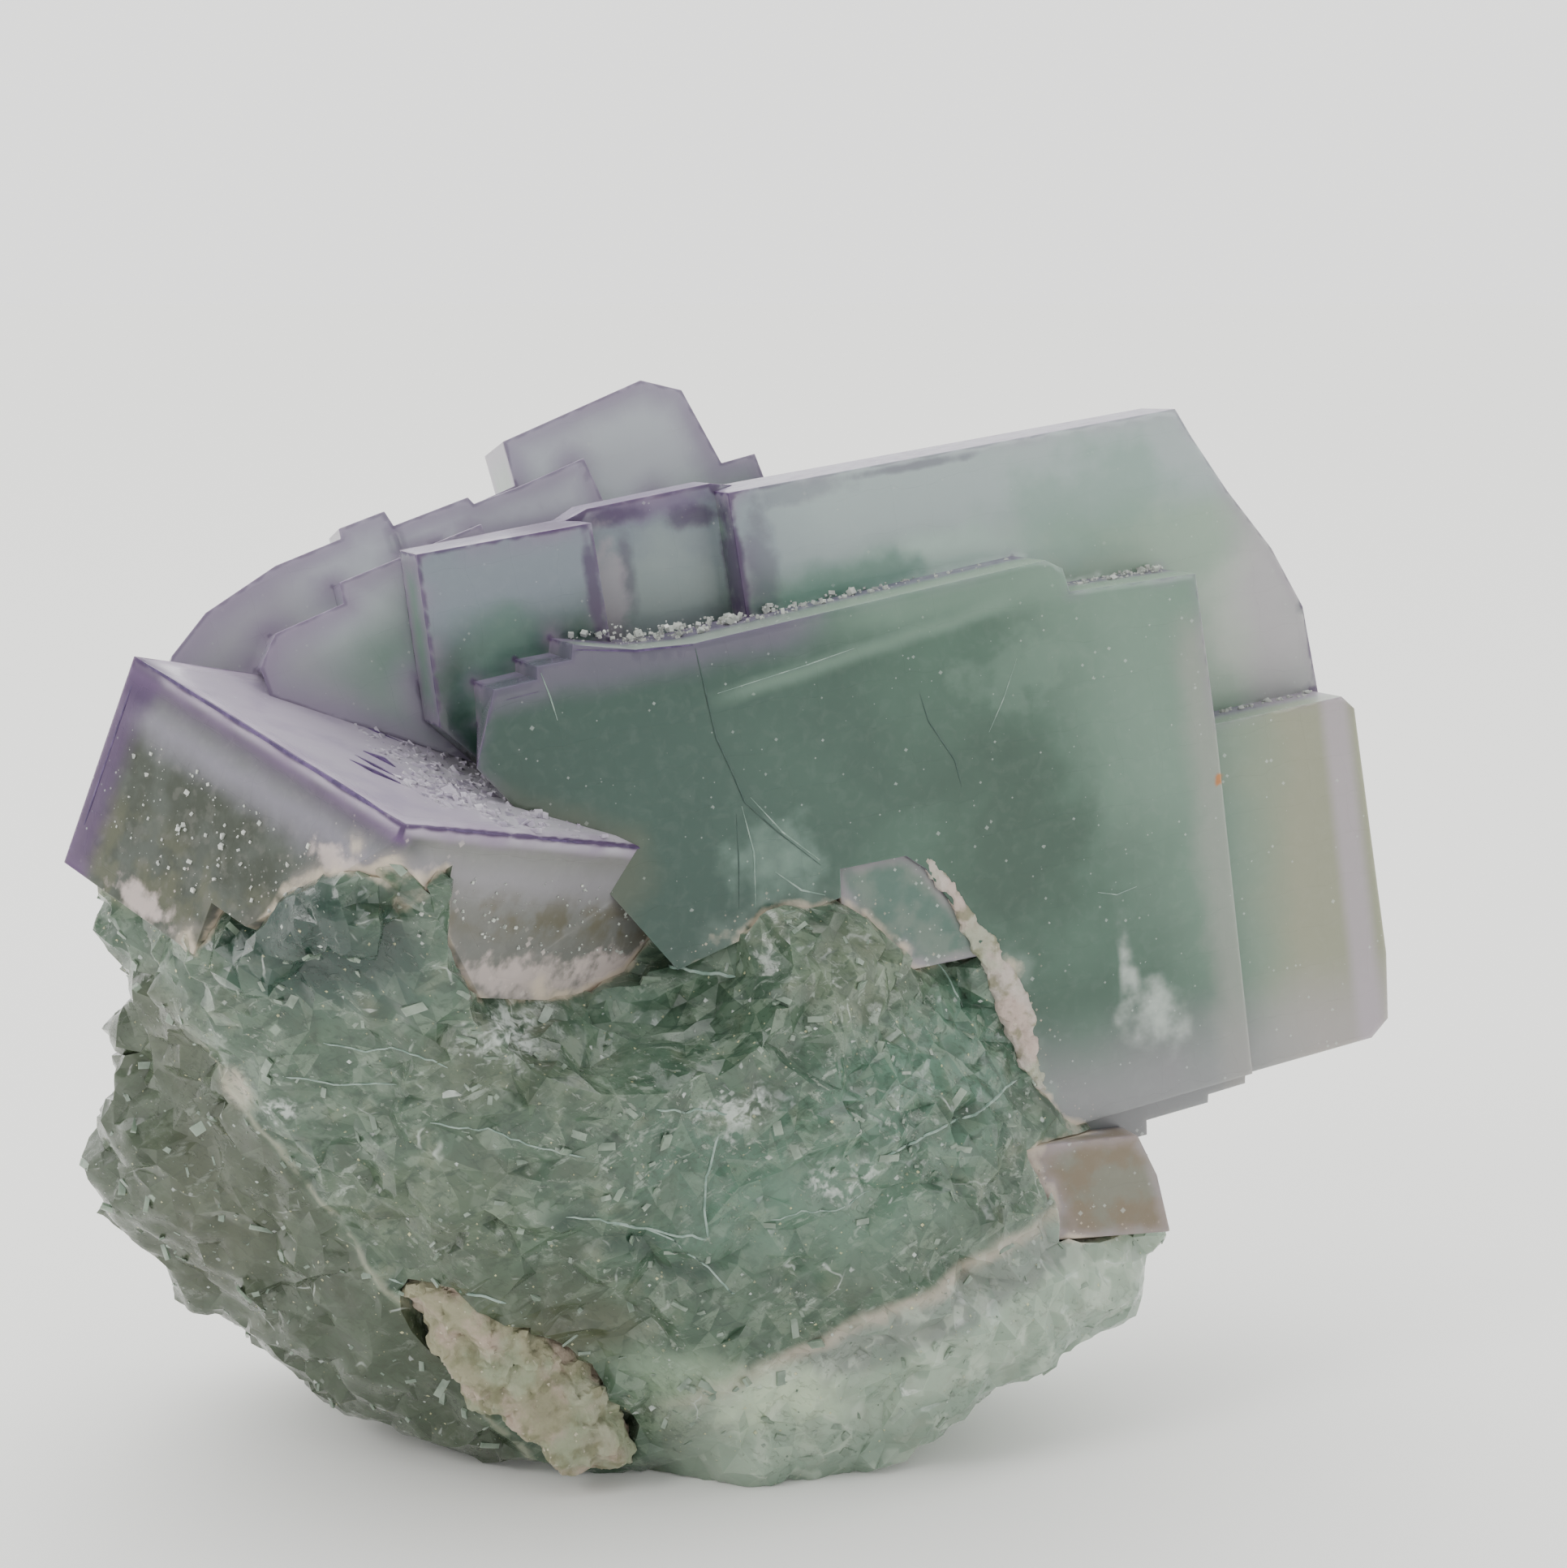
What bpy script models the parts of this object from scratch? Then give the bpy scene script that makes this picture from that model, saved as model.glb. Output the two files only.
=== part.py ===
"""Fluorite specimen: a cluster of intergrown cubic crystals on a broken base, resting on a surface.

Every crystal is a stack of growth plates. A plate is a flat outline in the crystal's own X (width) and
Y (height), extruded along its Z. The base is a rough, noise-shaped mass with sockets for the crystals.
"""
import bpy
import bmesh
import math
from mathutils import Euler, Matrix, Vector, noise

MM = 0.001
GAP = 0.3 * MM              # clearance between two pieces that touch
SPECIMEN_SHIFT = (1.4, 3.9, -1.0)   # moves the whole cluster over the middle of its resting face

# Where each crystal's own origin lies, and how the crystal is turned (degrees about X, Y, Z).
MAIN_PLACE, MAIN_TURN = (6.4, -9.1, 40.8), (87.8, -8.2, 20.1)
LEFT_PLACE, LEFT_TURN = (-19.7, -28.8, 43.6), (-13.0, 16.4, -42.1)
REAR_PLACE, REAR_TURN = (-21.0, -8.2, 52.1), (80.4, -19.6, 16.2)
LOWER_PLACE, LOWER_TURN = (16.6, -3.2, 17.0), (84.0, 1.0, 14.0)

# Main crystal: outlines in mm (width, height), then the front and the back of the plate in mm.
FRONT_PLATE = [(-22.4, 9.2), (-22.2, 11.4), (-19.7, 11.5), (-19.6, 12.2), (-17.6, 12.2), (-17.4, 13.0),
               (-14.0, 12.1), (-10.5, 11.8), (-2.2, 12.2), (11.6, 12.6), (12.5, 12.0), (12.8, 10.5),
               (21.1, 10.1), (21.2, 0.9), (20.8, -21.0), (6.7, -21.4), (6.9, -19.0), (6.4, -13.9),
               (5.6, -11.4), (3.2, -6.6), (1.6, -3.7), (0.4, -2.6), (-4.0, -2.5), (-4.2, -4.2),
               (-8.1, -4.8), (-12.9, -4.5), (-16.1, 0.7), (-18.6, 3.6)]
RIGHT_PLATE = [(9.0, 0.6), (30.6, 0.6), (31.3, -0.2), (31.5, -8.0), (31.6, -16.0), (31.2, -20.1),
               (30.0, -21.0), (20.8, -21.2), (20.7, -21.8), (18.1, -21.9), (18.0, -22.4), (13.7, -22.5),
               (13.6, -23.4), (10.0, -23.4), (7.2, -21.2)]
REAR_PLATE = [(-24.5, 9.4), (-24.2, 19.1), (-14.2, 19.1), (-14.2, 11.0), (-5.4, 11.0), (-5.4, 19.4),
              (23.6, 19.6), (24.4, 17.9), (26.4, 14.2), (29.0, 10.1), (30.7, 6.1), (31.1, 0.2), (31.2, -8.0),
              (31.0, -20.4), (7.4, -20.9), (4.4, -10.5), (-4.6, -7.0), (-14.0, -4.0), (-19.4, 3.4)]
GROOVE_FLOOR = [(-15.2, 10.0), (-15.0, 19.0), (-13.4, 19.7), (-5.8, 19.9), (-4.4, 19.4), (-4.4, 10.0)]
SIDE_PLATE = [(-23.0, 8.0), (-22.8, 18.2), (22.8, 18.7), (28.4, 9.0), (29.6, 5.0), (30.0, -19.2),
              (8.0, -19.8), (4.0, -11.0), (-6.0, -8.0), (-16.0, -2.0)]
BACK_PLATE = [(-19.5, 6.0), (-19.4, 15.6), (21.0, 15.8), (21.1, 11.0), (27.2, 10.8), (27.4, -16.5),
              (9.6, -16.8), (6.0, -11.0), (-8.0, -8.0)]
BACK_STEP = [(-12.0, 4.0), (-12.0, 12.4), (8.0, 12.5), (8.1, 9.2), (22.6, 9.0), (22.7, -12.8), (4.0, -10.0)]
MAIN_PLATES = [(FRONT_PLATE, 0.0, -6.0), (RIGHT_PLATE, -0.9, -6.4), (REAR_PLATE, -4.8, -9.0),
               (GROOVE_FLOOR, -7.4, -10.2), (SIDE_PLATE, -8.4, -16.0), (BACK_PLATE, -15.0, -21.6),
               (BACK_STEP, -20.0, -23.6)]

# Left crystal: its Z is the top face, its Y = 0 side and X = 0 side meet on the front corner.
LEFT_TOP = [(-23.6, 0.0), (0.0, 0.0), (0.0, 27.0), (-23.6, 27.0)]
LEFT_FOOT = [(-23.6, 0.0), (-11.5, 0.0), (-9.5, 25.0), (-23.6, 26.0)]
LEFT_PLATES = [(LEFT_TOP, 0.0, -9.3), (LEFT_FOOT, -8.4, -12.4)]
CHIP_POINT = (0.0, 0.0, -0.6)       # a point of the broken plane that cuts the left crystal's front corner
CHIP_DIRECTION = (0.628, -0.502, -0.595)
CHIP_SIZE = 60.0 * MM
SCOOP_CENTRE = (-7.2, -21.8, 38.4)  # a rounded hollow broken out of the base beside the left crystal
SCOOP_RADIUS = 11.5 * MM

# Rear crystal: outlines in mm, then front and back.
REAR_FRONT = [(-10.2, -14.0), (-9.6, 0.6), (-8.2, 2.0), (-3.8, 2.2), (-3.6, 3.4), (5.0, 3.6), (5.2, -14.0)]
REAR_MIDDLE = [(-16.4, -11.0), (-15.4, 1.0), (-13.9, 3.1), (-11.2, 4.7), (-6.4, 5.8), (-2.1, 5.9),
               (-2.0, 6.5), (0.6, 6.5), (0.8, 5.5), (5.6, 5.5), (5.8, 5.0), (9.0, 5.0), (13.0, 5.2),
               (13.2, 1.6), (17.0, 1.4), (17.0, -11.0)]
REAR_TOP = [(4.0, -10.0), (4.2, 5.0), (9.6, 5.3), (9.9, 8.1), (19.2, 8.6), (21.3, 7.2), (22.0, 2.0),
            (24.2, 1.8), (24.2, -10.0)]
REAR_END = [(-11.0, -9.0), (-10.8, 1.8), (-6.0, 3.2), (12.0, 3.0), (19.0, 5.0), (19.0, -9.0)]
REAR_PLATES = [(REAR_FRONT, 0.0, -6.0), (REAR_MIDDLE, -5.0, -13.0), (REAR_TOP, -10.0, -19.0),
               (REAR_END, -12.0, -22.5)]

# Small crystals, in mm.
INSET_PLATES = [([(-4.1, -9.4), (-3.6, -1.0), (7.0, -1.2), (8.0, -9.8)], -0.3, -4.3)]
LOWER_PLATES = [([(-5.6, -3.0), (-6.2, 2.4), (3.6, 2.8), (4.8, 0.4), (5.6, -2.9)], 5.0, -5.0)]

# Broken base: corner points in mm (X, Y, Z) of the rough mass before its surface is roughened.
BASE_CORNERS = [(-41.0, -14.2, 37.4), (-38.8, -13.0, 29.0), (-38.4, -11.0, 21.0), (-39.3, -9.5, 17.5),
                (-37.0, -8.5, 11.5), (-28.5, -9.0, 4.0), (-15.0, -12.5, 0.0), (-1.0, -13.0, 0.0),
                (6.5, -11.5, 0.0), (12.0, -11.5, 6.0), (17.5, -9.5, 7.0), (22.0, -7.0, 10.0),
                (24.6, -4.5, 14.0), (22.5, -2.5, 18.5), (-20.6, -27.6, 42.7), (-29.6, -22.8, 37.8),
                (-32.0, -16.0, 24.0), (-25.0, -15.5, 15.0), (-14.5, -16.0, 13.0), (0.5, -15.0, 10.5),
                (14.0, -10.5, 16.0), (15.2, -6.6, 21.0), (14.2, -6.6, 28.0), (7.0, -8.8, 33.0),
                (3.2, -10.4, 35.6), (-4.9, -13.6, 34.4), (-36.0, 12.0, 37.0), (-30.0, 15.5, 41.0),
                (-7.0, 17.0, 38.0), (9.0, 13.5, 22.0), (11.0, 9.0, 4.0), (-34.0, 9.0, 9.0),
                (-24.0, 6.0, 0.0), (4.0, 5.0, 0.0)]
BASE_GRAIN = 2.3 * MM
BASE_ROUGHNESS = [(9.0 * MM, 1.3 * MM), (3.6 * MM, 0.5 * MM)]     # wavelength and height of each roughness
FLOOR_SLAB = 200.0 * MM

CRUST_PLACE = (-15.4, -14.6, 8.4)
CRUST_TURN = (28.0, 44.0, 10.0)
CRUST_RADII = (9.0, 2.6, 3.2)
CRUST_ROUGHNESS = [(4.0 * MM, 0.7 * MM)]

# Colour, roughness and alpha-free Principled values of each piece.
LOOKS = {
    "main_crystal": ((0.16, 0.27, 0.22), 0.22),
    "left_crystal": ((0.34, 0.29, 0.38), 0.24),
    "rear_crystal": ((0.38, 0.40, 0.42), 0.28),
    "inset_crystal": ((0.30, 0.36, 0.32), 0.30),
    "lower_crystal": ((0.32, 0.27, 0.26), 0.35),
    "fractured_base": ((0.14, 0.23, 0.17), 0.32),
    "pale_crust": ((0.55, 0.50, 0.40), 0.75),
}


def clear_scene():
    for old in list(bpy.data.objects):
        bpy.data.objects.remove(old, do_unlink=True)


def new_collection(name):
    collection = bpy.data.collections.new(name)
    bpy.context.scene.collection.children.link(collection)
    return collection


def stone_material(name):
    colour, roughness = LOOKS[name]
    material = bpy.data.materials.new(name)
    material.use_nodes = True
    shader = material.node_tree.nodes["Principled BSDF"]
    shader.inputs["Base Color"].default_value = (*colour, 1.0)
    shader.inputs["Roughness"].default_value = roughness
    shader.inputs["Metallic"].default_value = 0.0
    return material


def place(obj, location, turn):
    """Puts an object at a place in mm, turned by degrees about X, Y and Z."""
    obj.location = Vector(location) * MM
    obj.rotation_euler = [math.radians(angle) for angle in turn]


def grown_outline(outline, grow):
    """The outline with every side moved outwards by grow."""
    points = [Vector(p) * MM for p in outline]
    count = len(points)
    area = sum(points[i].x * points[(i + 1) % count].y - points[(i + 1) % count].x * points[i].y
               for i in range(count))
    side = 1.0 if area > 0 else -1.0
    grown = []
    for i, point in enumerate(points):
        before = (point - points[i - 1]).normalized()
        after = (points[(i + 1) % count] - point).normalized()
        out_before = Vector((before.y, -before.x)) * side
        out_after = Vector((after.y, -after.x)) * side
        middle = (out_before + out_after).normalized()
        grown.append(point + middle * grow / max(0.5, middle.dot(out_before)))
    return grown


def plate(name, layer, grow, collection):
    """One growth plate: an outline filled and extruded between its front and its back."""
    outline, front, back = layer
    curve = bpy.data.curves.new(name, "CURVE")
    curve.dimensions = "2D"
    curve.fill_mode = "BOTH"
    front_z = front * MM + grow
    back_z = back * MM - grow
    curve.extrude = (front_z - back_z) / 2
    spline = curve.splines.new("POLY")
    points = grown_outline(outline, grow)
    spline.points.add(len(points) - 1)
    for target, point in zip(spline.points, points):
        target.co = (point.x, point.y, 0.0, 1.0)
    spline.use_cyclic_u = True
    flat = bpy.data.objects.new(name + "_outline", curve)
    mesh = bpy.data.meshes.new_from_object(flat)
    mesh.name = name
    bpy.data.objects.remove(flat)
    mesh.transform(Matrix.Translation((0.0, 0.0, (front_z + back_z) / 2)))
    shape = bmesh.new()
    shape.from_mesh(mesh)
    bmesh.ops.remove_doubles(shape, verts=shape.verts, dist=MM / 10000)
    bmesh.ops.recalc_face_normals(shape, faces=shape.faces)
    shape.to_mesh(mesh)
    shape.free()
    obj = bpy.data.objects.new(name, mesh)
    collection.objects.link(obj)
    return obj


def hide_cutter(obj):
    obj.hide_render = True
    obj.display_type = "WIRE"


def boolean(obj, cutter, operation):
    modifier = obj.modifiers.new(operation.lower() + "_" + cutter.name, "BOOLEAN")
    modifier.operation = operation
    modifier.solver = "EXACT"
    modifier.object = cutter


def crystal(name, plates, location, turn, parent):
    """A crystal: its first plate, joined with the rest."""
    body = plate(name, plates[0], 0.0, PARTS)
    place(body, location, turn)
    body.parent = parent
    body.data.materials.append(stone_material(name))
    for number, layer in enumerate(plates[1:], start=2):
        extra = plate(f"{name}_plate_{number}", layer, 0.0, CUTTERS)
        place(extra, location, turn)
        extra.parent = parent
        hide_cutter(extra)
        boolean(body, extra, "UNION")
    return body


def socket(name, plates, location, turn, parent):
    """The crystal's plates, each grown by the gap and joined: what a neighbour is cut by."""
    body = None
    for number, layer in enumerate(plates, start=1):
        cutter = plate(f"{name}_socket_{number}", layer, GAP, CUTTERS)
        place(cutter, location, turn)
        cutter.parent = parent
        hide_cutter(cutter)
        if body is None:
            body = cutter
        else:
            boolean(body, cutter, "UNION")
    return body


def corner_chip(name, setback, parent):
    """A large block with one face on the broken plane at the left crystal's front corner."""
    outward = Vector(CHIP_DIRECTION).normalized()
    shape = bmesh.new()
    bmesh.ops.create_cube(shape, size=CHIP_SIZE)
    mesh = bpy.data.meshes.new(name)
    shape.to_mesh(mesh)
    shape.free()
    block = bpy.data.objects.new(name, mesh)
    CUTTERS.objects.link(block)
    hide_cutter(block)
    own = Matrix.Translation(Vector(CHIP_POINT) * MM + outward * (CHIP_SIZE / 2 + setback))
    own = own @ outward.to_track_quat("Z", "Y").to_matrix().to_4x4()
    block.parent = parent
    block.matrix_local = left_axes() @ own
    return block


def left_axes():
    """The left crystal's own axes as a matrix under the specimen's empty."""
    turn = Euler([math.radians(angle) for angle in LEFT_TURN]).to_matrix().to_4x4()
    return Matrix.Translation(Vector(LEFT_PLACE) * MM) @ turn


def scoop_cutter(parent):
    """A ball that breaks a rounded hollow out of the base beside the left crystal."""
    shape = bmesh.new()
    bmesh.ops.create_icosphere(shape, subdivisions=4, radius=SCOOP_RADIUS)
    mesh = bpy.data.meshes.new("scoop")
    shape.to_mesh(mesh)
    shape.free()
    scoop = bpy.data.objects.new("scoop", mesh)
    CUTTERS.objects.link(scoop)
    hide_cutter(scoop)
    scoop.location = Vector(SCOOP_CENTRE) * MM
    scoop.parent = parent
    return scoop


def roughen(shape, roughness, seed):
    """Moves every corner along its normal by layered noise."""
    shape.normal_update()
    moves = []
    for vert in shape.verts:
        lift = 0.0
        for layer, (wavelength, height) in enumerate(roughness):
            offset = Vector((seed, layer * 7.1, 3.3))
            lift += height * noise.noise(vert.co / wavelength + offset)
        moves.append(vert.normal * lift)
    for vert, move in zip(shape.verts, moves):
        vert.co += move


def even_skin(obj, grain):
    """Applies an even remesh of a rough solid and gives its mesh back."""
    remesh = obj.modifiers.new("even_skin", "REMESH")
    remesh.mode = "VOXEL"
    remesh.voxel_size = grain
    bpy.context.view_layer.update()
    evaluated = obj.evaluated_get(bpy.context.evaluated_depsgraph_get())
    mesh = bpy.data.meshes.new_from_object(evaluated)
    obj.modifiers.clear()
    return mesh


def fractured_base(parent):
    """The broken mass: the hull of its corner points, roughened, with a flat underside."""
    shape = bmesh.new()
    for corner in BASE_CORNERS:
        shape.verts.new(Vector(corner) * MM)
    bmesh.ops.convex_hull(shape, input=shape.verts)
    loose = [vert for vert in shape.verts if not vert.link_faces]
    bmesh.ops.delete(shape, geom=loose, context="VERTS")
    mesh = bpy.data.meshes.new("fractured_base")
    shape.to_mesh(mesh)
    shape.free()
    base = bpy.data.objects.new("fractured_base", mesh)
    PARTS.objects.link(base)
    base.data = even_skin(base, BASE_GRAIN)
    shape = bmesh.new()
    shape.from_mesh(base.data)
    roughen(shape, BASE_ROUGHNESS, 4.0)
    shape.to_mesh(base.data)
    shape.free()
    base.data.materials.append(stone_material("fractured_base"))
    base.parent = parent
    slab = bmesh.new()
    bmesh.ops.create_cube(slab, size=FLOOR_SLAB)
    slab_mesh = bpy.data.meshes.new("ground_cut")
    slab.to_mesh(slab_mesh)
    slab.free()
    ground = bpy.data.objects.new("ground_cut", slab_mesh)
    CUTTERS.objects.link(ground)
    ground.location = (0.0, 0.0, -FLOOR_SLAB / 2)
    hide_cutter(ground)
    boolean(base, ground, "DIFFERENCE")
    return base


def pale_crust(name, grow, collection, parent):
    """The cream crust: a rough, flattened lump on the base's lower front."""
    shape = bmesh.new()
    bmesh.ops.create_icosphere(shape, subdivisions=3, radius=1.0)
    for vert in shape.verts:
        vert.co = Vector([vert.co[axis] * (CRUST_RADII[axis] * MM + grow) for axis in range(3)])
    roughen(shape, CRUST_ROUGHNESS, 11.0)
    mesh = bpy.data.meshes.new(name)
    shape.to_mesh(mesh)
    shape.free()
    crust = bpy.data.objects.new(name, mesh)
    collection.objects.link(crust)
    place(crust, CRUST_PLACE, CRUST_TURN)
    crust.parent = parent
    return crust


def build():
    root = bpy.data.objects.new("specimen", None)
    bpy.context.scene.collection.objects.link(root)
    root.location = Vector(SPECIMEN_SHIFT) * MM

    main = crystal("main_crystal", MAIN_PLATES, MAIN_PLACE, MAIN_TURN, root)
    left = crystal("left_crystal", LEFT_PLATES, LEFT_PLACE, LEFT_TURN, root)
    rear = crystal("rear_crystal", REAR_PLATES, REAR_PLACE, REAR_TURN, root)
    inset = crystal("inset_crystal", INSET_PLATES, MAIN_PLACE, MAIN_TURN, root)
    lower = crystal("lower_crystal", LOWER_PLATES, LOWER_PLACE, LOWER_TURN, root)
    main_socket = socket("main", MAIN_PLATES, MAIN_PLACE, MAIN_TURN, root)
    left_socket = socket("left", LEFT_PLATES, LEFT_PLACE, LEFT_TURN, root)
    rear_socket = socket("rear", REAR_PLATES, REAR_PLACE, REAR_TURN, root)
    inset_socket = socket("inset", INSET_PLATES, MAIN_PLACE, MAIN_TURN, root)
    lower_socket = socket("lower", LOWER_PLATES, LOWER_PLACE, LOWER_TURN, root)

    boolean(left, corner_chip("corner_chip", 0.0, root), "DIFFERENCE")
    boolean(left_socket, corner_chip("corner_chip_set_back", GAP, root), "DIFFERENCE")
    for neighbour in (left, rear, inset, lower):
        boolean(neighbour, main_socket, "DIFFERENCE")
    boolean(rear, left_socket, "DIFFERENCE")

    crust = pale_crust("pale_crust", 0.0, PARTS, root)
    crust.data.materials.append(stone_material("pale_crust"))
    crust_socket = pale_crust("crust_socket", GAP, CUTTERS, root)
    hide_cutter(crust_socket)

    base = fractured_base(root)
    scoop = scoop_cutter(root)
    for cutter in (scoop, main_socket, left_socket, rear_socket, inset_socket, lower_socket, crust_socket):
        boolean(base, cutter, "DIFFERENCE")


clear_scene()
PARTS = new_collection("fluorite_specimen")
CUTTERS = new_collection("cutters")
build()
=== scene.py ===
"""Looks of the fluorite specimen: stepped green crystals with purple edges on a broken, glassy base.

Each crystal starts from its CAD solid, in the crystal's own axes: X across, Y up and Z out of its main
face. Its edges are worn, its faces divided, and the distances that colour it are stored on its points.
"""

import math
import random

import bmesh
import bpy
import numpy as np
from mathutils import Euler, Matrix, Vector, kdtree, noise
from mathutils.bvhtree import BVHTree


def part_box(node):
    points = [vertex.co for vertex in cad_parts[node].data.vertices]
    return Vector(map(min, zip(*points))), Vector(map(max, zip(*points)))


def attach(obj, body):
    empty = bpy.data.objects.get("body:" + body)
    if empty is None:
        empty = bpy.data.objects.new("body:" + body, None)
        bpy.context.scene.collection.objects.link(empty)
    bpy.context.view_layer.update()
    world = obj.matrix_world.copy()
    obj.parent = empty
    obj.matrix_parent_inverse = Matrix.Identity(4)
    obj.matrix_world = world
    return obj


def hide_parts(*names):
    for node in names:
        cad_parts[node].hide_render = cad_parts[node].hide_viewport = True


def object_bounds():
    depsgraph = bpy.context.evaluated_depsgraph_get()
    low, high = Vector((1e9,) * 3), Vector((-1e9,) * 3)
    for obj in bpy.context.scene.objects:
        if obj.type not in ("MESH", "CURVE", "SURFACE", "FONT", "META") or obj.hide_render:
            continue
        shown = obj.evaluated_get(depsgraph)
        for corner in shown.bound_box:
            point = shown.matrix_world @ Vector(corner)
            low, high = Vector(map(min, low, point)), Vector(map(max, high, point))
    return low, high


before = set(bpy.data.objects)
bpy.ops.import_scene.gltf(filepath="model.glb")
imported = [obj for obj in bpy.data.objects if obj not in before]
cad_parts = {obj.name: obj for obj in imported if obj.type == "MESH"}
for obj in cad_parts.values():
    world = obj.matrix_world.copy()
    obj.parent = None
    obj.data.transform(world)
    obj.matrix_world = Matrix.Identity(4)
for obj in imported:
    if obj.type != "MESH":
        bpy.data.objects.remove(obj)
CAD_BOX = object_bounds()

MM = 0.001
FACE_GRID = 0.9 * MM          # longest edge of a crystal's divided faces
WORN_EDGE = 0.16 * MM         # how far a crystal's edges are worn back
BASE_GRAIN = 0.38 * MM        # size of the broken base's mesh
BASE_FACETS = 12000           # flat facets that the base's broken skin has
CRUST_GRAIN = 0.22 * MM
WORKING_GAP = 0.18 * MM       # how far each crystal swells, to close the CAD's gaps
EDGE_ANGLE = math.radians(25)  # faces that meet at more than this make an edge
FLUORITE_IOR = 1.434
ROUTE_STEPS = 6               # parts that each stretch of a drawn route is split into

# How each crystal is turned (degrees), and where its origin lies from its box's lowest corner (mm).
TURN = {
    "main_crystal": (87.8, -8.2, 20.1),
    "inset_crystal": (87.8, -8.2, 20.1),
    "left_crystal": (-13.0, 16.4, -42.1),
    "rear_crystal": (80.4, -19.6, 16.2),
    "lower_crystal": (84.0, 1.0, 14.0),
}
ORIGIN = {
    "main_crystal": (29.28, 7.74, 21.96),
    "left_crystal": (21.2, 0.0, 14.52),
    "rear_crystal": (17.17, 2.61, 17.76),
    "lower_crystal": (7.25, 6.49, 3.5),
}


def crystal_axes(node):
    """A crystal's own axes, as a matrix: the inset crystal shares the main one's."""
    owner = node if node in ORIGIN else "main_crystal"
    low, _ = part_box(owner)
    turn = Euler([math.radians(angle) for angle in TURN[node]]).to_matrix().to_4x4()
    return Matrix.Translation(low + Vector(ORIGIN[owner]) * MM) @ turn


# ---------------------------------------------------------------- mesh work

def whole_faces(node, axes):
    """The CAD node's solid in the given axes, with its flat faces whole again."""
    shape = bmesh.new()
    shape.from_mesh(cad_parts[node].data)
    bmesh.ops.transform(shape, matrix=axes.inverted(), verts=shape.verts)
    bmesh.ops.remove_doubles(shape, verts=shape.verts, dist=0.004 * MM)
    bmesh.ops.dissolve_limit(shape, angle_limit=math.radians(1.5), verts=shape.verts, edges=shape.edges)
    return shape


def wear_edges(shape, amount):
    """Rounds the solid's sharp edges."""
    sharp = [edge for edge in shape.edges
             if edge.is_manifold and edge.calc_face_angle() > EDGE_ANGLE]
    bmesh.ops.bevel(shape, geom=sharp, offset=amount, offset_type="OFFSET", segments=2, profile=0.6,
                    affect="EDGES", clamp_overlap=True)
    bmesh.ops.remove_doubles(shape, verts=shape.verts, dist=0.003 * MM)


def divide_faces(shape, longest):
    """Splits every long edge until the faces are small enough to carry colour distances."""
    bmesh.ops.triangulate(shape, faces=shape.faces)
    for _ in range(7):
        long_edges = [edge for edge in shape.edges if edge.calc_length() > longest]
        if not long_edges:
            break
        bmesh.ops.subdivide_edges(shape, edges=long_edges, cuts=1)
        bmesh.ops.triangulate(shape, faces=shape.faces)


def edge_points(shape, spacing):
    """Points along the solid's outward edges."""
    points = []
    for edge in shape.edges:
        if not edge.is_manifold or not edge.is_convex or edge.calc_face_angle() < EDGE_ANGLE:
            continue
        first, last = edge.verts[0].co, edge.verts[1].co
        count = max(1, int((last - first).length / spacing))
        points += [first.lerp(last, i / count) for i in range(count + 1)]
    return points


def point_tree(points):
    tree = kdtree.KDTree(len(points))
    for index, point in enumerate(points):
        tree.insert(point, index)
    tree.balance()
    return tree


def store(mesh, name, values):
    """Keeps one number per point on the mesh, for its material."""
    attribute = mesh.attributes.new(name, "FLOAT", "POINT")
    attribute.data.foreach_set("value", np.asarray(values, dtype=np.float32))


def new_piece(name, shape, axes, material, sharp_angle=30.0):
    """A finished piece of the specimen from a bmesh in the given axes."""
    mesh = bpy.data.meshes.new(name)
    shape.to_mesh(mesh)
    shape.free()
    mesh.validate()
    mesh.materials.append(material)
    mesh.shade_smooth()
    mesh.set_sharp_from_angle(angle=math.radians(sharp_angle))
    piece = bpy.data.objects.new(name, mesh)
    bpy.context.scene.collection.objects.link(piece)
    piece.matrix_world = axes
    return piece


def hang_on_root(piece, slot, *nodes):
    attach(piece, "root")
    if nodes:
        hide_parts(*nodes)


# ---------------------------------------------------------------- broken surfaces

def chips(points, size, tilt, step, seed):
    """Height of a surface that broke into flat chips, and the tone of the chip that each point is on."""
    rng = np.random.default_rng(seed)
    low = points.min(0) - size
    high = points.max(0) + size
    count = int(np.prod((high - low) / size))
    seeds = rng.uniform(low, high, (count, 3))
    lean = rng.normal(size=(count, 3))
    lean /= np.linalg.norm(lean, axis=1)[:, None]
    lift = rng.uniform(-step, step, count)
    tone = rng.uniform(0, 1, count)
    tree = point_tree([Vector(s) for s in seeds])
    height = np.zeros(len(points))
    chip_tone = np.zeros(len(points))
    for i, point in enumerate(points):
        cell = tree.find(Vector(point))[1]
        height[i] = (point - seeds[cell]) @ lean[cell] * tilt + lift[cell]
        chip_tone[i] = tone[cell]
    return height, chip_tone


def warped(points, wavelength, amount, seed):
    """The points moved by smooth noise, so that chip borders wander."""
    shift = Vector((seed, 2.0 * seed, 5.0))
    moves = [noise.noise_vector(Vector(p) / wavelength + shift) for p in points]
    return np.array([p + amount * np.array(move) for p, move in zip(points, moves)])


def ripples(points, wavelength, seed):
    shift = Vector((seed, 0.3, 1.7))
    return np.array([noise.fractal(Vector(p) / wavelength + shift, 0.8, 2.1, 4) for p in points])


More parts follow.
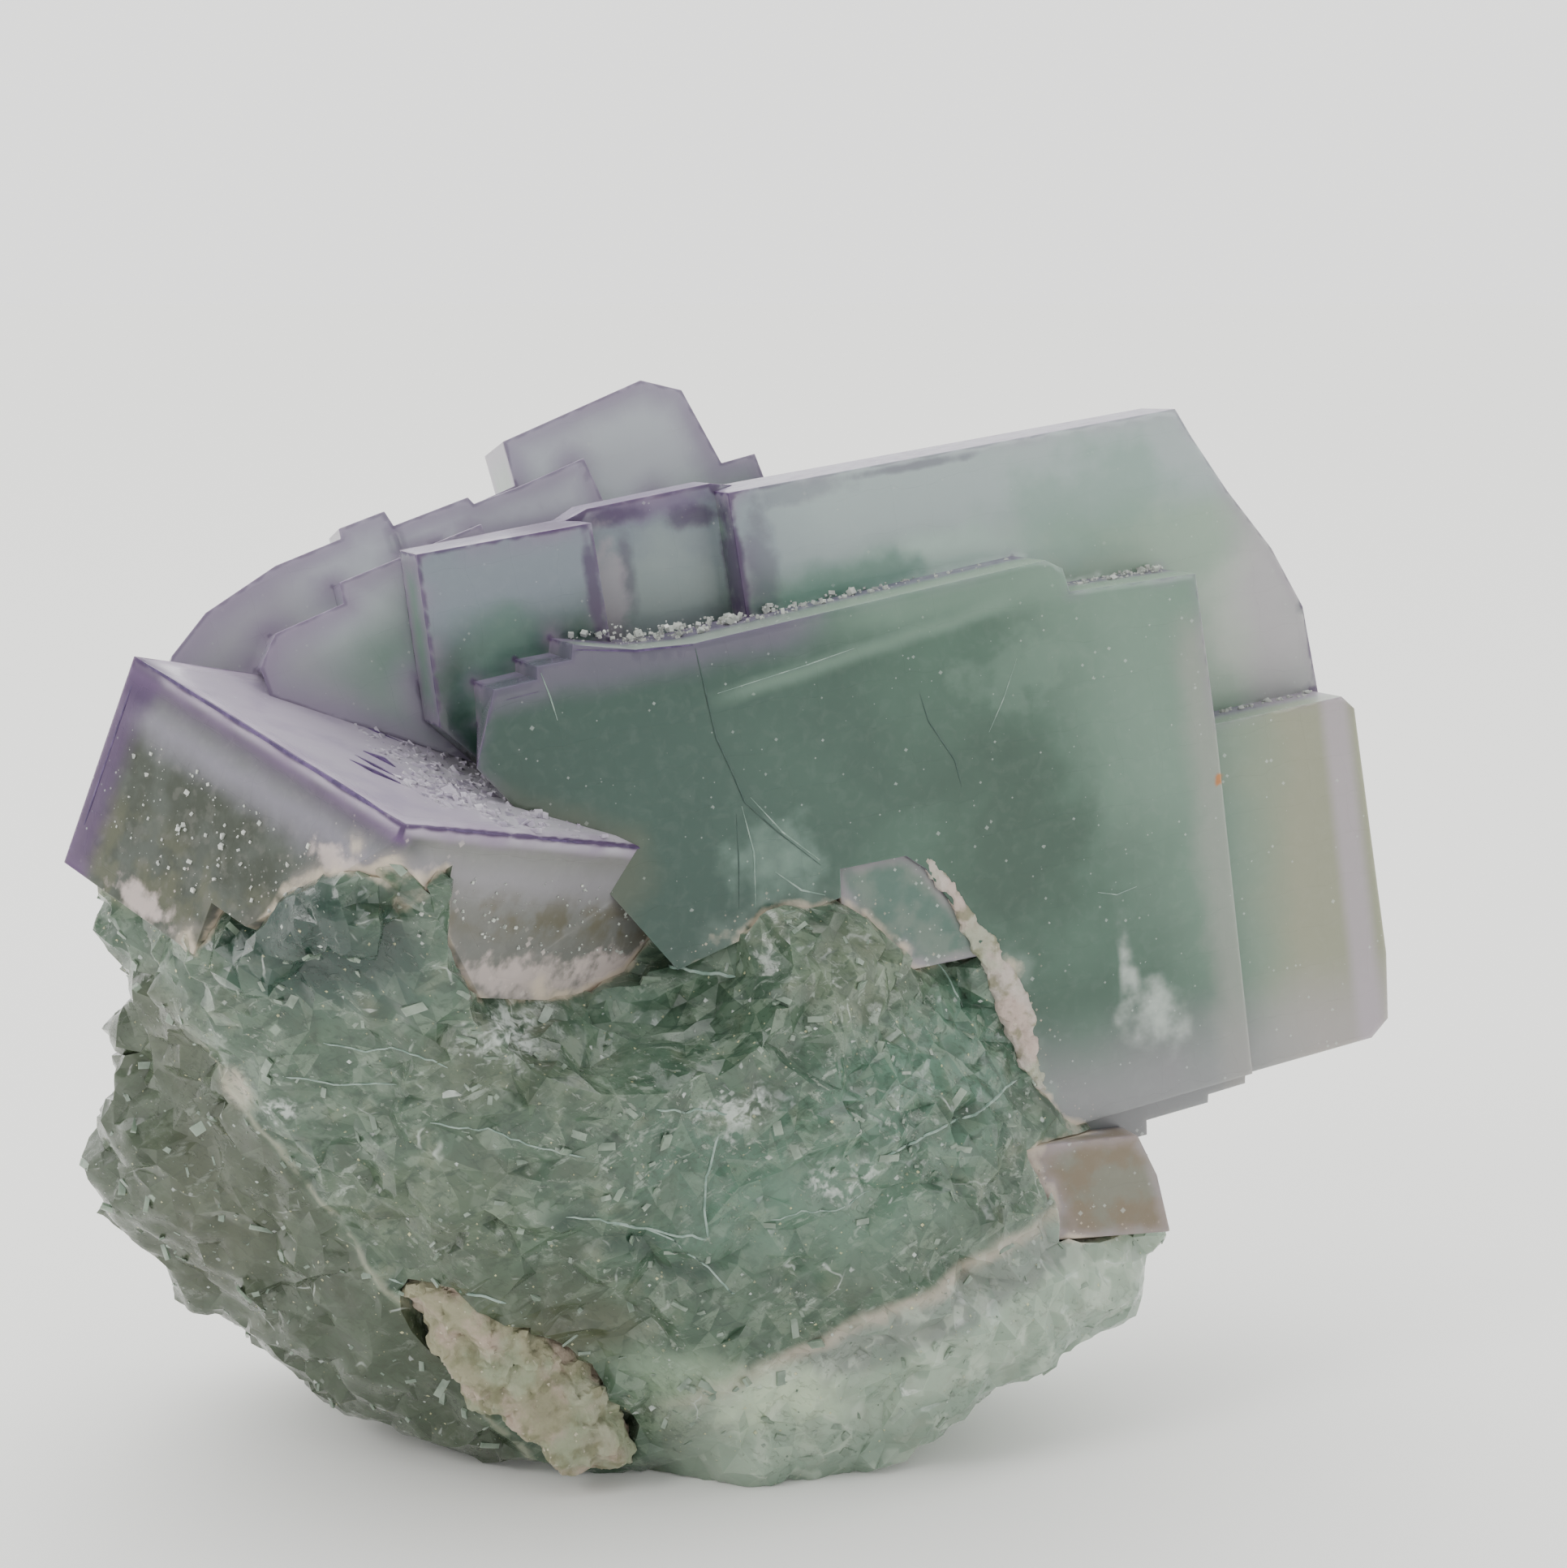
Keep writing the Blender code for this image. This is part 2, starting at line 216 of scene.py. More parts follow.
def even_skin(shape, grain):
    """The solid with an even skin of small faces."""
    mesh = bpy.data.meshes.new("even_skin")
    shape.to_mesh(mesh)
    shape.free()
    rough = bpy.data.objects.new("even_skin", mesh)
    bpy.context.scene.collection.objects.link(rough)
    remesh = rough.modifiers.new("even_skin", "REMESH")
    remesh.mode = "VOXEL"
    remesh.voxel_size = grain
    skinned = rough.evaluated_get(bpy.context.evaluated_depsgraph_get())
    even = bmesh.new()
    even.from_mesh(skinned.to_mesh())
    bpy.data.objects.remove(rough)
    return even


def broken_into_facets(shape, count):
    """The solid with its skin simplified into about this many flat facets."""
    mesh = bpy.data.meshes.new("facets")
    ratio = count / (2 * len(shape.faces))
    shape.to_mesh(mesh)
    shape.free()
    rough = bpy.data.objects.new("facets", mesh)
    bpy.context.scene.collection.objects.link(rough)
    simpler = rough.modifiers.new("facets", "DECIMATE")
    simpler.ratio = ratio
    faceted = bpy.data.meshes.new_from_object(rough.evaluated_get(bpy.context.evaluated_depsgraph_get()))
    faceted.validate()
    result = bmesh.new()
    result.from_mesh(faceted)
    bpy.data.objects.remove(rough)
    bpy.data.meshes.remove(faceted)
    return result


def points_of(shape):
    return np.array([vert.co[:] for vert in shape.verts])


def normals_of(shape):
    shape.normal_update()
    return np.array([vert.normal[:] for vert in shape.verts])


def move_points(shape, moved):
    for vert, place in zip(shape.verts, moved):
        vert.co = place


# ---------------------------------------------------------------- shader tools

def linear(red, green, blue):
    """A display colour of 0 to 255 as the linear colour that a shader takes."""
    def one(value):
        value /= 255
        return value / 12.92 if value <= 0.04045 else ((value + 0.055) / 1.055) ** 2.4
    return (one(red), one(green), one(blue), 1.0)


def feed(tree, node, inputs):
    """Links or sets a node's inputs: each is another node's output or a plain value."""
    for key, value in inputs.items():
        if isinstance(value, bpy.types.NodeSocket):
            tree.links.new(value, node.inputs[key])
        else:
            node.inputs[key].default_value = value


def put(tree, kind, inputs=None, **settings):
    """Adds a shader node and feeds its inputs, which are given by name or number."""
    node = tree.nodes.new("ShaderNode" + kind)
    for key, value in settings.items():
        setattr(node, key, value)
    feed(tree, node, inputs or {})
    return node


def calc(tree, operation, a, b=0.0, clamp=False):
    return put(tree, "Math", {0: a, 1: b}, operation=operation, use_clamp=clamp).outputs[0]


def mix(tree, factor, a, b, blend="MIX"):
    """Mixes two colours."""
    return put(tree, "Mix", {0: factor, 6: a, 7: b}, data_type="RGBA", blend_type=blend).outputs[2]


def fade(tree, value, start, end):
    """0 at start and 1 at end, smoothly."""
    return put(tree, "MapRange", {0: value, 1: start, 2: end}, interpolation_type="SMOOTHSTEP").outputs[0]


def cloud(tree, vector, scale, detail=3.0, distortion=0.0, roughness=0.5):
    inputs = {"Vector": vector, "Scale": scale, "Detail": detail, "Distortion": distortion}
    return put(tree, "TexNoise", {**inputs, "Roughness": roughness}).outputs[0]


def group(name, inputs, outputs):
    """A new node group: its tree, its input sockets by name, and its output node."""
    tree = bpy.data.node_groups.new(name, "ShaderNodeTree")
    for socket, kind, value in inputs:
        made = tree.interface.new_socket(socket, in_out="INPUT", socket_type="NodeSocket" + kind)
        made.default_value = value
    for socket in outputs:
        tree.interface.new_socket(socket, in_out="OUTPUT", socket_type="NodeSocketFloat")
    start = tree.nodes.new("NodeGroupInput")
    end = tree.nodes.new("NodeGroupOutput")
    return tree, start.outputs, end


def use(tree, shared, inputs):
    """Places a node group in a material and gives back its outputs."""
    node = tree.nodes.new("ShaderNodeGroup")
    node.node_tree = shared
    feed(tree, node, inputs)
    return node.outputs


def make_soft_patch():
    """An oval patch with a ragged edge: 1 inside, fading to 0 at its radii."""
    tree, given, end = group(
        "soft_patch",
        [("Vector", "Vector", (0, 0, 0)), ("Centre", "Vector", (0, 0, 0)), ("Radii", "Vector", (1, 1, 1)),
         ("Ragged", "Float", 0.4), ("Grain", "Float", 0.5)],
        ["Mask"])
    away = put(tree, "VectorMath", {0: given["Vector"], 1: given["Centre"]},
               operation="SUBTRACT").outputs[0]
    scaled = put(tree, "VectorMath", {0: away, 1: given["Radii"]}, operation="DIVIDE").outputs[0]
    length = put(tree, "VectorMath", {0: scaled}, operation="LENGTH").outputs["Value"]
    wander = calc(tree, "SUBTRACT", cloud(tree, given["Vector"], given["Grain"], 4.0), 0.5)
    ragged = calc(tree, "ADD", length,
                  calc(tree, "MULTIPLY", wander, calc(tree, "MULTIPLY", given["Ragged"], 4.0)))
    tree.links.new(fade(tree, ragged, 1.1, 0.35), end.inputs["Mask"])
    return tree


def make_sparkle():
    """Tiny bright crystals and pits of many sizes: a mask of glints and their height."""
    tree, given, end = group(
        "sparkle",
        [("Vector", "Vector", (0, 0, 0)), ("Scale", "Float", 6.0), ("Amount", "Float", 0.2)],
        ["Mask", "Height"])
    cells = put(tree, "TexVoronoi", {"Vector": given["Vector"], "Scale": given["Scale"]},
                distance="MANHATTAN")
    parts = put(tree, "SeparateColor", {0: cells.outputs["Color"]})
    chosen = calc(tree, "LESS_THAN", parts.outputs[0], given["Amount"])
    size = calc(tree, "ADD", calc(tree, "MULTIPLY", calc(tree, "POWER", parts.outputs[1], 2.5), 0.5),
                0.12)
    dot = fade(tree, calc(tree, "DIVIDE", cells.outputs["Distance"], size), 1.0, 0.6)
    mask = calc(tree, "MULTIPLY", chosen, dot)
    tree.links.new(calc(tree, "MULTIPLY", mask, calc(tree, "ADD", parts.outputs[2], 0.15)),
                   end.inputs["Mask"])
    tree.links.new(calc(tree, "MULTIPLY", mask, size), end.inputs["Height"])
    return tree


def make_scratches():
    """Straight scratches in the X-Y plane, one in some of the cells, turned a little each way."""
    tree, given, end = group(
        "scratches",
        [("Vector", "Vector",
          (0, 0, 0)), ("Scale", "Float", 0.2), ("Amount", "Float", 0.3), ("Turn", "Float", 0.6),
         ("Width", "Float", 0.012)],
        ["Mask"])
    cells = put(tree, "TexVoronoi", {"Vector": given["Vector"], "Scale": given["Scale"]})
    parts = put(tree, "SeparateColor", {0: cells.outputs["Color"]})
    place = put(tree, "VectorMath", {0: given["Vector"], "Scale": given["Scale"]},
                operation="SCALE").outputs[0]
    away = put(tree, "VectorMath", {0: place, 1: cells.outputs["Position"]},
               operation="SUBTRACT").outputs[0]
    spin = calc(tree, "ADD", calc(tree, "MULTIPLY", calc(tree, "SUBTRACT", parts.outputs[1], 0.5), 1.6),
                given["Turn"])
    turned = put(tree, "VectorRotate", {"Vector": away, "Angle": spin}, rotation_type="Z_AXIS").outputs[0]
    axes = put(tree, "SeparateXYZ", {0: turned})
    off_line = calc(tree, "DIVIDE", calc(tree, "ABSOLUTE", axes.outputs["X"]), given["Width"])
    reach = calc(tree, "ADD", calc(tree, "MULTIPLY", parts.outputs[2], 0.4), 0.05)
    along = calc(tree, "DIVIDE", calc(tree, "ABSOLUTE", axes.outputs["Y"]), reach)
    line = calc(tree, "MULTIPLY", fade(tree, off_line, 1.0, 0.2), fade(tree, along, 1.0, 0.6))
    chosen = calc(tree, "LESS_THAN", parts.outputs[0], given["Amount"])
    tree.links.new(calc(tree, "MULTIPLY", line, chosen), end.inputs["Mask"])
    return tree


def make_cracks():
    """Hairline cracks that run between crooked cells and fade in and out."""
    tree, given, end = group(
        "cracks",
        [("Vector", "Vector",
          (0, 0, 0)), ("Scale", "Float", 0.5), ("Width", "Float", 0.05), ("Cover", "Float", 0.5)],
        ["Mask"])
    bend = put(tree, "TexNoise",
               {"Vector": given["Vector"], "Scale": 0.35, "Detail": 2.0}).outputs["Color"]
    bend = put(tree, "VectorMath", {0: bend, 1: (0.5, 0.5, 0.5)}, operation="SUBTRACT").outputs[0]
    bend = put(tree, "VectorMath", {0: bend, "Scale": 1.5}, operation="SCALE").outputs[0]
    moved = put(tree, "VectorMath", {0: given["Vector"], 1: bend}, operation="ADD").outputs[0]
    cells = put(tree, "TexVoronoi", {"Vector": moved, "Scale": given["Scale"]},
                feature="DISTANCE_TO_EDGE")
    line = fade(tree, calc(tree, "DIVIDE", cells.outputs["Distance"], given["Width"]), 1.0, 0.1)
    gate = fade(tree, calc(tree, "ADD", cloud(tree, given["Vector"], 0.4, 3.0), given["Cover"]), 1.0,
                1.12)
    tree.links.new(calc(tree, "MULTIPLY", line, gate), end.inputs["Mask"])
    return tree


def make_growth_lines():
    """Fine stepped lines along the cube faces: their height and a faint mottling."""
    tree, given, end = group(
        "growth_lines",
        [("Vector", "Vector", (0, 0, 0)), ("Spacing", "Float", 1.0)],
        ["Height", "Mask"])
    axes = put(tree, "SeparateXYZ", {0: given["Vector"]})
    height = None
    for axis, offset in (("X", 0.0), ("Y", 3.7), ("Z", 8.1)):
        wander = calc(tree, "MULTIPLY", cloud(tree, given["Vector"], 0.35, 2.0), 1.6)
        level = calc(tree, "DIVIDE", calc(tree, "ADD", axes.outputs[axis], wander), given["Spacing"])
        saw = calc(tree, "FRACT", calc(tree, "ADD", level, offset))
        height = saw if height is None else calc(tree, "ADD", height, saw)
    tree.links.new(height, end.inputs["Height"])
    tree.links.new(fade(tree, cloud(tree, given["Vector"], 1.3, 5.0, 0.6), 0.45, 0.75),
                   end.inputs["Mask"])
    return tree


SOFT_PATCH = make_soft_patch()
SPARKLE = make_sparkle()
SCRATCHES = make_scratches()
CRACKS = make_cracks()
GROWTH_LINES = make_growth_lines()


def make_grit():
    """Short streaks, light and dark, that lie mostly along one way: a crushed, glassy skin."""
    tree, given, end = group(
        "grit",
        [("Vector", "Vector",
          (0, 0, 0)), ("Scale", "Float", 1.5), ("Turn", "Float", 0.4), ("Stretch", "Float", 0.3)],
        ["Light", "Dark"])
    turned = put(tree, "VectorRotate", {"Vector": given["Vector"], "Angle": given["Turn"]},
                 rotation_type="Y_AXIS").outputs[0]
    squeeze = put(tree, "CombineXYZ", {0: given["Stretch"], 1: 1.0, 2: 1.0}).outputs[0]
    stretched = put(tree, "VectorMath", {0: turned, 1: squeeze}, operation="MULTIPLY").outputs[0]
    field = cloud(tree, stretched, given["Scale"], 6.0, 0.4, 0.62)
    gate = fade(tree, cloud(tree, given["Vector"], 0.22, 3.0), 0.40, 0.60)
    tree.links.new(calc(tree, "MULTIPLY", fade(tree, field, 0.56, 0.66), gate), end.inputs["Light"])
    tree.links.new(fade(tree, field, 0.46, 0.36), end.inputs["Dark"])
    return tree


GRIT = make_grit()


class Stone:
    """A crystal or rock material that is built up in layers of colour, roughness and height."""

    def __init__(self, name, colour, roughness, glow=0.3):
        self.material = bpy.data.materials.new(name)
        self.material.use_nodes = True
        self.tree = self.material.node_tree
        self.shader = self.tree.nodes["Principled BSDF"]
        feed(self.tree, self.shader, {"IOR": FLUORITE_IOR, "Subsurface Weight": glow,
                                      "Subsurface Radius": (1.0, 1.0, 0.9), "Subsurface Scale": 1.2 * MM})
        where = put(self.tree, "TexCoord").outputs["Object"]
        self.mm = put(self.tree, "VectorMath", {0: where, "Scale": 1 / MM}, operation="SCALE").outputs[0]
        axes = put(self.tree, "SeparateXYZ", {0: self.mm})
        self.x, self.y, self.z = axes.outputs
        self.colour = linear(*colour)
        self.roughness = roughness
        self.height = 0.0

    def stored(self, name):
        return put(self.tree, "Attribute", attribute_name=name).outputs["Fac"]

    def cloud(self, scale, detail=4.0, distortion=0.0):
        return cloud(self.tree, self.mm, scale, detail, distortion)

    def both(self, *masks):
        """Where all the masks are 1."""
        result = masks[0]
        for mask in masks[1:]:
            result = calc(self.tree, "MULTIPLY", result, mask)
        return result

    def without(self, mask):
        return calc(self.tree, "SUBTRACT", 1.0, mask)

    def band(self, value, start, end):
        """0 where the value is at start, 1 where it is at end."""
        return fade(self.tree, value, start, end)

    def between(self, value, low, high, soft):
        """1 where the value lies between low and high."""
        return self.both(self.band(value, low - soft, low + soft),
                         self.band(value, high + soft, high - soft))

    def patch(self, centre, radii, ragged=0.4, grain=0.5):
        inputs = {"Vector": self.mm, "Centre": centre, "Radii": radii, "Ragged": ragged, "Grain": grain}
        return use(self.tree, SOFT_PATCH, inputs)["Mask"]

    def sparkle(self, scale, amount):
        return use(self.tree, SPARKLE, {"Vector": self.mm, "Scale": scale, "Amount": amount})

    def cracks(self, scale, width, cover):
        return use(self.tree, CRACKS,
                   {"Vector": self.mm, "Scale": scale, "Width": width, "Cover": cover})["Mask"]

    def wander(self, value, scale, amount, detail=4.0):
        """The value, moved up and down by a cloud."""
        noise_part = calc(self.tree, "SUBTRACT", self.cloud(scale, detail), 0.5)
        return calc(self.tree, "ADD", value, calc(self.tree, "MULTIPLY", noise_part, amount))

    def tint(self, mask, colour, strength=1.0):
        """Blends a colour in where the mask is 1."""
        factor = calc(self.tree, "MULTIPLY", mask, strength, clamp=True)
        self.colour = mix(self.tree, factor, self.colour, linear(*colour))

    def zone(self, value, start, end, colour, strength, *where):
        """Tints where the value runs from start to end, within the given masks."""
        self.tint(self.both(*where, self.band(value, start, end)), colour, strength)

    def belt(self, value, low, high, soft, colour, strength, *where):
        """Tints where the value lies between low and high, within the given masks."""
        self.tint(self.both(*where, self.between(value, low, high, soft)), colour, strength)

    def spot(self, centre, radii, ragged, grain, colour, strength, *where):
        """Tints one ragged oval patch, within the given masks."""
        self.tint(self.both(*where, self.patch(centre, radii, ragged, grain)), colour, strength)

    def mottle(self, scale, detail, start, end, colour, strength, *where):
        """Tints where a cloud's value runs from start to end, within the given masks."""
        self.zone(self.cloud(scale, detail), start, end, colour, strength, *where)

    def frost(self, mask, roughness):
        """Makes the surface rougher or smoother where the mask is 1."""
        change = calc(self.tree, "MULTIPLY", mask, calc(self.tree, "SUBTRACT", roughness, self.roughness))
        self.roughness = calc(self.tree, "ADD", self.roughness, change)

    def raise_by(self, height, amount):
        """Adds height, in mm, to the surface's bump."""
        self.height = calc(self.tree, "ADD", self.height, calc(self.tree, "MULTIPLY", height, amount))

    def grit(self, scale, turn, stretch, light, dark, strength):
        """Light and dark streaks over the colour so far."""
        inputs = {"Vector": self.mm, "Scale": scale, "Turn": turn, "Stretch": stretch}
        streaks = use(self.tree, GRIT, inputs)
        self.tint(streaks["Dark"], dark, strength)
        self.tint(streaks["Light"], light, strength)
        self.raise_by(streaks["Light"], 0.04)

    def finish(self, coat=0.0):
        tree = self.tree
        bump = put(tree, "Bump", {"Height": self.height, "Distance": MM, "Strength": 1.0})
        feed(tree, self.shader, {"Base Color": self.colour, "Roughness": self.roughness,
                                 "Normal": bump.outputs[0], "Coat Weight": coat, "Coat Roughness": 0.08})
        return self.material


# Display colours: red, green and blue from 0 to 255.
DEEP_TEAL = (36, 66, 57)
DEEP_GREEN = (52, 80, 66)
MID_GREEN = (74, 104, 88)
SOFT_GREEN = (112, 138, 122)
PALE_GREEN = (150, 168, 150)
BLUE_LILAC = (132, 140, 152)
LILAC = (132, 116, 140)
PALE_LILAC = (166, 156, 166)
BEIGE = (146, 142, 120)
PURPLE = (64, 42, 80)
CREAM = (206, 192, 172)
FROST = (196, 204, 198)
OLIVE = (88, 90, 72)
RUST = (168, 104, 40)


def growth_texture(stone, strength=1.0):
    """What every crystal has: growth lines, mottling, a fine grain and pale specks of tiny crystals with
    painted glints.
    """
    lines = use(stone.tree, GROWTH_LINES, {"Vector": stone.mm, "Spacing": 2.6})
    stone.raise_by(lines["Height"], 0.012)
    stone.tint(lines["Mask"], FROST, 0.025 * strength)
    stone.raise_by(stone.cloud(9.0, 5.0), 0.004)
    # pale specks: tiny crystals, partly painted glints
    glint_specks = stone.sparkle(3.2, 0.10)
    stone.tint(glint_specks["Mask"], FROST, 0.45 * strength)


def edge_lines(stone, width, strength, halo=6.0, halo_strength=0.5, where=None):
    """The thin dark purple line along crystal edges, in its soft lilac halo."""
    distance = stone.stored("edge_mm")
    uneven = stone.band(stone.cloud(0.7), 0.28, 0.45)
    line = stone.both(stone.band(distance, width, width * 0.4), uneven)
    soft = stone.both(stone.band(distance, width * halo, 0.0), stone.band(stone.cloud(0.25), 0.3, 0.65))
    if where is not None:
        line = stone.both(line, where)
        soft = stone.both(soft, where)
    stone.tint(soft, LILAC, halo_strength)
    stone.tint(line, PURPLE, strength)


def broken_rim(stone, width=0.7, haze=2.5, haze_colour=PALE_LILAC, where=1.0):
    """The pale haze and the cream line where a crystal is broken off at the base."""
    near = stone.wander(stone.stored("rim_mm"), 0.8, -1.8 * width)
    uneven = stone.both(where, stone.band(stone.cloud(0.35, 3.0), 0.36, 0.6))
    stone.tint(stone.both(stone.band(near, haze, 0.0), uneven), haze_colour, 0.55)
    speckle = stone.both(where, stone.band(near, haze * 1.6, 0.0), stone.sparkle(4.2, 0.3)["Mask"])
    stone.tint(speckle, CREAM, 0.8)
    line = stone.both(where, stone.band(near, width * 0.9, 0.0))
    stone.tint(line, CREAM, 0.8)
    stone.frost(line, 0.6)


def main_crystal_material():
    """Deep green inside, paler to the right, with lilac and purple zones along the growth steps."""
    stone = Stone("main_crystal_fluorite", DEEP_GREEN, 0.24)
    across = stone.wander(stone.x, 0.09, 7.0, 3.0)
    upward = stone.wander(stone.y, 0.12, 4.0, 3.0)
    front = stone.band(stone.z, -3.4, -1.6)
    behind = stone.without(front)
    stone.mottle(0.12, 3.0, 0.35, 0.65, MID_GREEN, 0.6)
    stone.zone(across, 8.0, -14.0, DEEP_TEAL, 0.85)
    slanted = stone.wander(calc(stone.tree, "ADD", stone.x, calc(stone.tree, "MULTIPLY", stone.y, 0.35)),
                           0.1, 6.0)
    stone.zone(slanted, 9.0, 19.0, SOFT_GREEN, 0.8)
    stone.spot((7.5, -3.5, 0.0), (6.5, 8.0, 2.5), 0.3, 0.3, (40, 68, 54), 0.75, front)
    stone.zone(across, 20.5, 27.0, BEIGE, 0.75)
    stone.belt(stone.x, 29.2, 31.0, 0.5, PALE_LILAC, 0.75)
    stone.zone(upward, -14.0, -20.5, PALE_LILAC, 0.5)
    # the plate behind: green low down, blue lilac near its top, paler to the right
    high = stone.band(upward, 12.6, 16.2)
    stone.zone(across, -9.0, -2.0, (130, 156, 144), 0.9, behind)
    stone.zone(across, 2.0, 14.0, PALE_GREEN, 0.6, behind)
    stone.tint(stone.both(behind, high), BLUE_LILAC, 0.75)
    stone.zone(across, -8.0, 2.0, (172, 184, 182), 0.6, behind, high)
    # painted light: a paler patch in the groove that lifts the shade of the hollow
    stone.spot((-9.5, 14.0, -7.4), (5.2, 5.0, 1.6), 0.2, 0.4, (140, 154, 152), 0.8)
    # painted light: a lighter green patch that lifts the shade in the corner between the plate behind and
    # the front plate
    stone.spot((-20.5, 12.0, -4.6), (3.4, 4.4, 2.5), 0.3, 0.3, (80, 112, 100), 0.8)
    stone.spot((8.0, 13.0, -4.6), (9.0, 2.6, 1.5), 0.3, 0.3, (172, 192, 184), 0.85)
    stone.spot((1.5, 13.0, -4.6), (6.5, 1.9, 1.5), 0.3, 0.4, (88, 126, 112), 0.75)
    stone.spot((17.0, 15.0, -4.6), (7.5, 4.4, 1.5), 0.5, 0.3, (122, 152, 138), 0.6)
    stone.spot((27.5, 6.0, -4.6), (5.0, 5.0, 1.5), 0.3, 0.3, (184, 184, 180), 0.6)
    # the sides and the back: the same green heart, with zones that follow the growth
    far_side = stone.stored("far_side")
    depth_zone = stone.wander(stone.z, 0.12, 3.0)
    stone.tint(far_side, MID_GREEN, 0.8)
    stone.belt(depth_zone, -12.0, -5.0, 2.0, SOFT_GREEN, 0.6, far_side)
    stone.belt(depth_zone, -21.0, -17.5, 1.0, BEIGE, 0.6, far_side)
    stone.zone(depth_zone, -20.5, -23.5, DEEP_GREEN, 0.55, far_side)
    stone.mottle(0.07, 3.0, 0.2, 0.7, DEEP_GREEN, 0.6, far_side)
    stone.mottle(0.16, 5.0, 0.4, 0.9, PALE_GREEN, 0.35, far_side)
    stone.zone(stone.wander(stone.stored("edge_mm"), 0.4, 1.4), 2.6, 0.2, LILAC, 0.6, far_side)
    grown_tops = stone.both(behind, stone.stored("ledge"))
    stone.tint(grown_tops, (128, 118, 142), 0.8)
    stone.mottle(1.4, 6.0, 0.38, 0.75, (88, 74, 106), 0.6, grown_tops)
    stone.frost(grown_tops, 0.45)
    far_right = stone.both(behind, stone.band(stone.wander(stone.x, 0.3, 3.0), 25.0, 28.0))
    stone.tint(stone.both(far_right, stone.without(far_side)), PALE_LILAC, 0.6)
    right_edge = stone.both(front, stone.band(stone.wander(stone.x, 0.4, 1.6), 18.2, 20.4),
                            stone.band(stone.y, 9.0, 6.0))
    stone.zone(stone.x, 21.6, 21.3, (150, 146, 142), 0.5, right_edge)
    stone.spot((-10.0, 19.6, -6.0), (6.4, 1.5, 4.0), 0.4, 0.5, (96, 76, 116), 0.7)
    growth_texture(stone)
    # purple zones of the groove and of the steps beside it
    upper_left = stone.both(stone.band(stone.x, -1.5, -4.5), stone.band(stone.y, 9.6, 11.0))
    edge_lines(stone, 0.34, 0.75, 5.0, 0.45, upper_left)
    edge_lines(stone, 0.22, 0.35, 4.0, 0.35, stone.band(stone.y, -2.0, 4.0))
    edge_lines(stone, 0.26, 0.6, 4.0, 0.4, far_side)
    for centre, radii, strength in (((-14.5, 15.5, -5.0), (0.55, 4.6, 3.0), 0.8),
                                    ((-7.2, 18.4, -6.0), (2.4, 1.0, 4.0), 0.75),
                                    ((-12.0, 19.2, -6.0), (3.0, 0.7, 4.0), 0.7),
                                    ((-16.4, 19.4, -6.0), (2.4, 0.4, 4.0), 0.8),
                                    ((-5.5, 15.0, -5.6), (0.4, 4.2, 3.0), 0.8),
                                    ((-4.2, 15.4, -4.8), (1.3, 4.0, 2.0), 0.45),
                                    ((-11.6, 15.6, -7.4), (0.7, 3.2, 2.0), 0.5),
                                    ((6.0, 19.2, -5.0), (5.0, 0.35, 2.0), 0.45),
                                    ((-1.5, 18.9, -5.0), (4.0, 0.9, 2.0), 0.3)):
        stone.spot(centre, radii, 0.25, 0.9, PURPLE, strength)
    stone.spot((-12.9, 14.6, -7.4), (1.4, 4.2, 2.0), 0.4, 0.8, PALE_LILAC, 0.6)
    # painted shade under the ledge: dark purple grey to the left, a paler green to the right
    under_ledge = stone.both(front, stone.band(stone.wander(stone.y, 0.4, 1.2), 9.6, 11.6))
    stone.zone(stone.x, -1.0, -6.0, (88, 84, 100), 0.85, under_ledge)
    stone.zone(stone.x, -6.0, 2.0, SOFT_GREEN, 0.6, under_ledge)
    # ledges that look up are frosted
    frosted = stone.both(stone.stored("ledge"), front, stone.band(stone.x, -17.6, -16.4))
    crust = stone.sparkle(3.6, 0.4)
    stone.tint(frosted, PALE_GREEN, 0.5)
    stone.frost(frosted, 0.55)
    stone.tint(stone.both(frosted, crust["Mask"]), FROST, 0.8)
    stone.raise_by(stone.both(frosted, crust["Height"]), 0.10)
    # scratches, veils and stains of the front face
    for scale, turn, amount in ((0.16, 0.7, 0.35), (0.25, -0.9, 0.22), (0.4, 1.6, 0.16)):
        inputs = {"Vector": stone.mm, "Scale": scale, "Turn": turn, "Amount": amount,
                  "Width": 0.06 * scale}
        stone.tint(use(stone.tree, SCRATCHES, inputs)["Mask"], FROST, 0.4)
    for centre, radii in (((13.4, -12.6, 0.0), (0.8, 3.0, 3.0)), ((15.2, -16.4, 0.0), (2.6, 2.4, 3.0))):
        wisp = stone.patch(centre, radii, 0.5, 0.3)
        stone.mottle(0.5, 3.0, 0.3, 0.7, FROST, 0.65, wisp)
    stone.spot((9.0, 6.5, 0.0), (4.0, 2.4, 2.0), 0.8, 0.5, SOFT_GREEN, 0.25)
    fold = calc(stone.tree, "SUBTRACT", stone.y, calc(stone.tree, "MULTIPLY", stone.x, 0.119))
    fold = stone.between(stone.wander(fold, 0.3, 0.5), 9.3, 10.1, 0.4)
    stone.belt(stone.x, -9.0, 9.0, 2.0, SOFT_GREEN, 0.55, front, fold)
    stone.spot((21.3, -2.5, 0.0), (0.55, 0.45, 1.5), 0.5, 1.5, RUST, 0.9)
    stone.zone(stone.wander(stone.stored("left_mm"), 0.6, 1.0), 2.0, 0.2, OLIVE, 0.5)
    veils = stone.both(front, stone.patch((-7.6, -1.4, 0.0), (3.6, 3.0, 2.0), 0.4, 0.5),
                       stone.cloud(0.7, 5.0))
    stone.tint(veils, (150, 178, 164), 0.5)
    broken_rim(stone, 0.5, 1.2, (128, 146, 136))
    return stone.finish(coat=0.2)


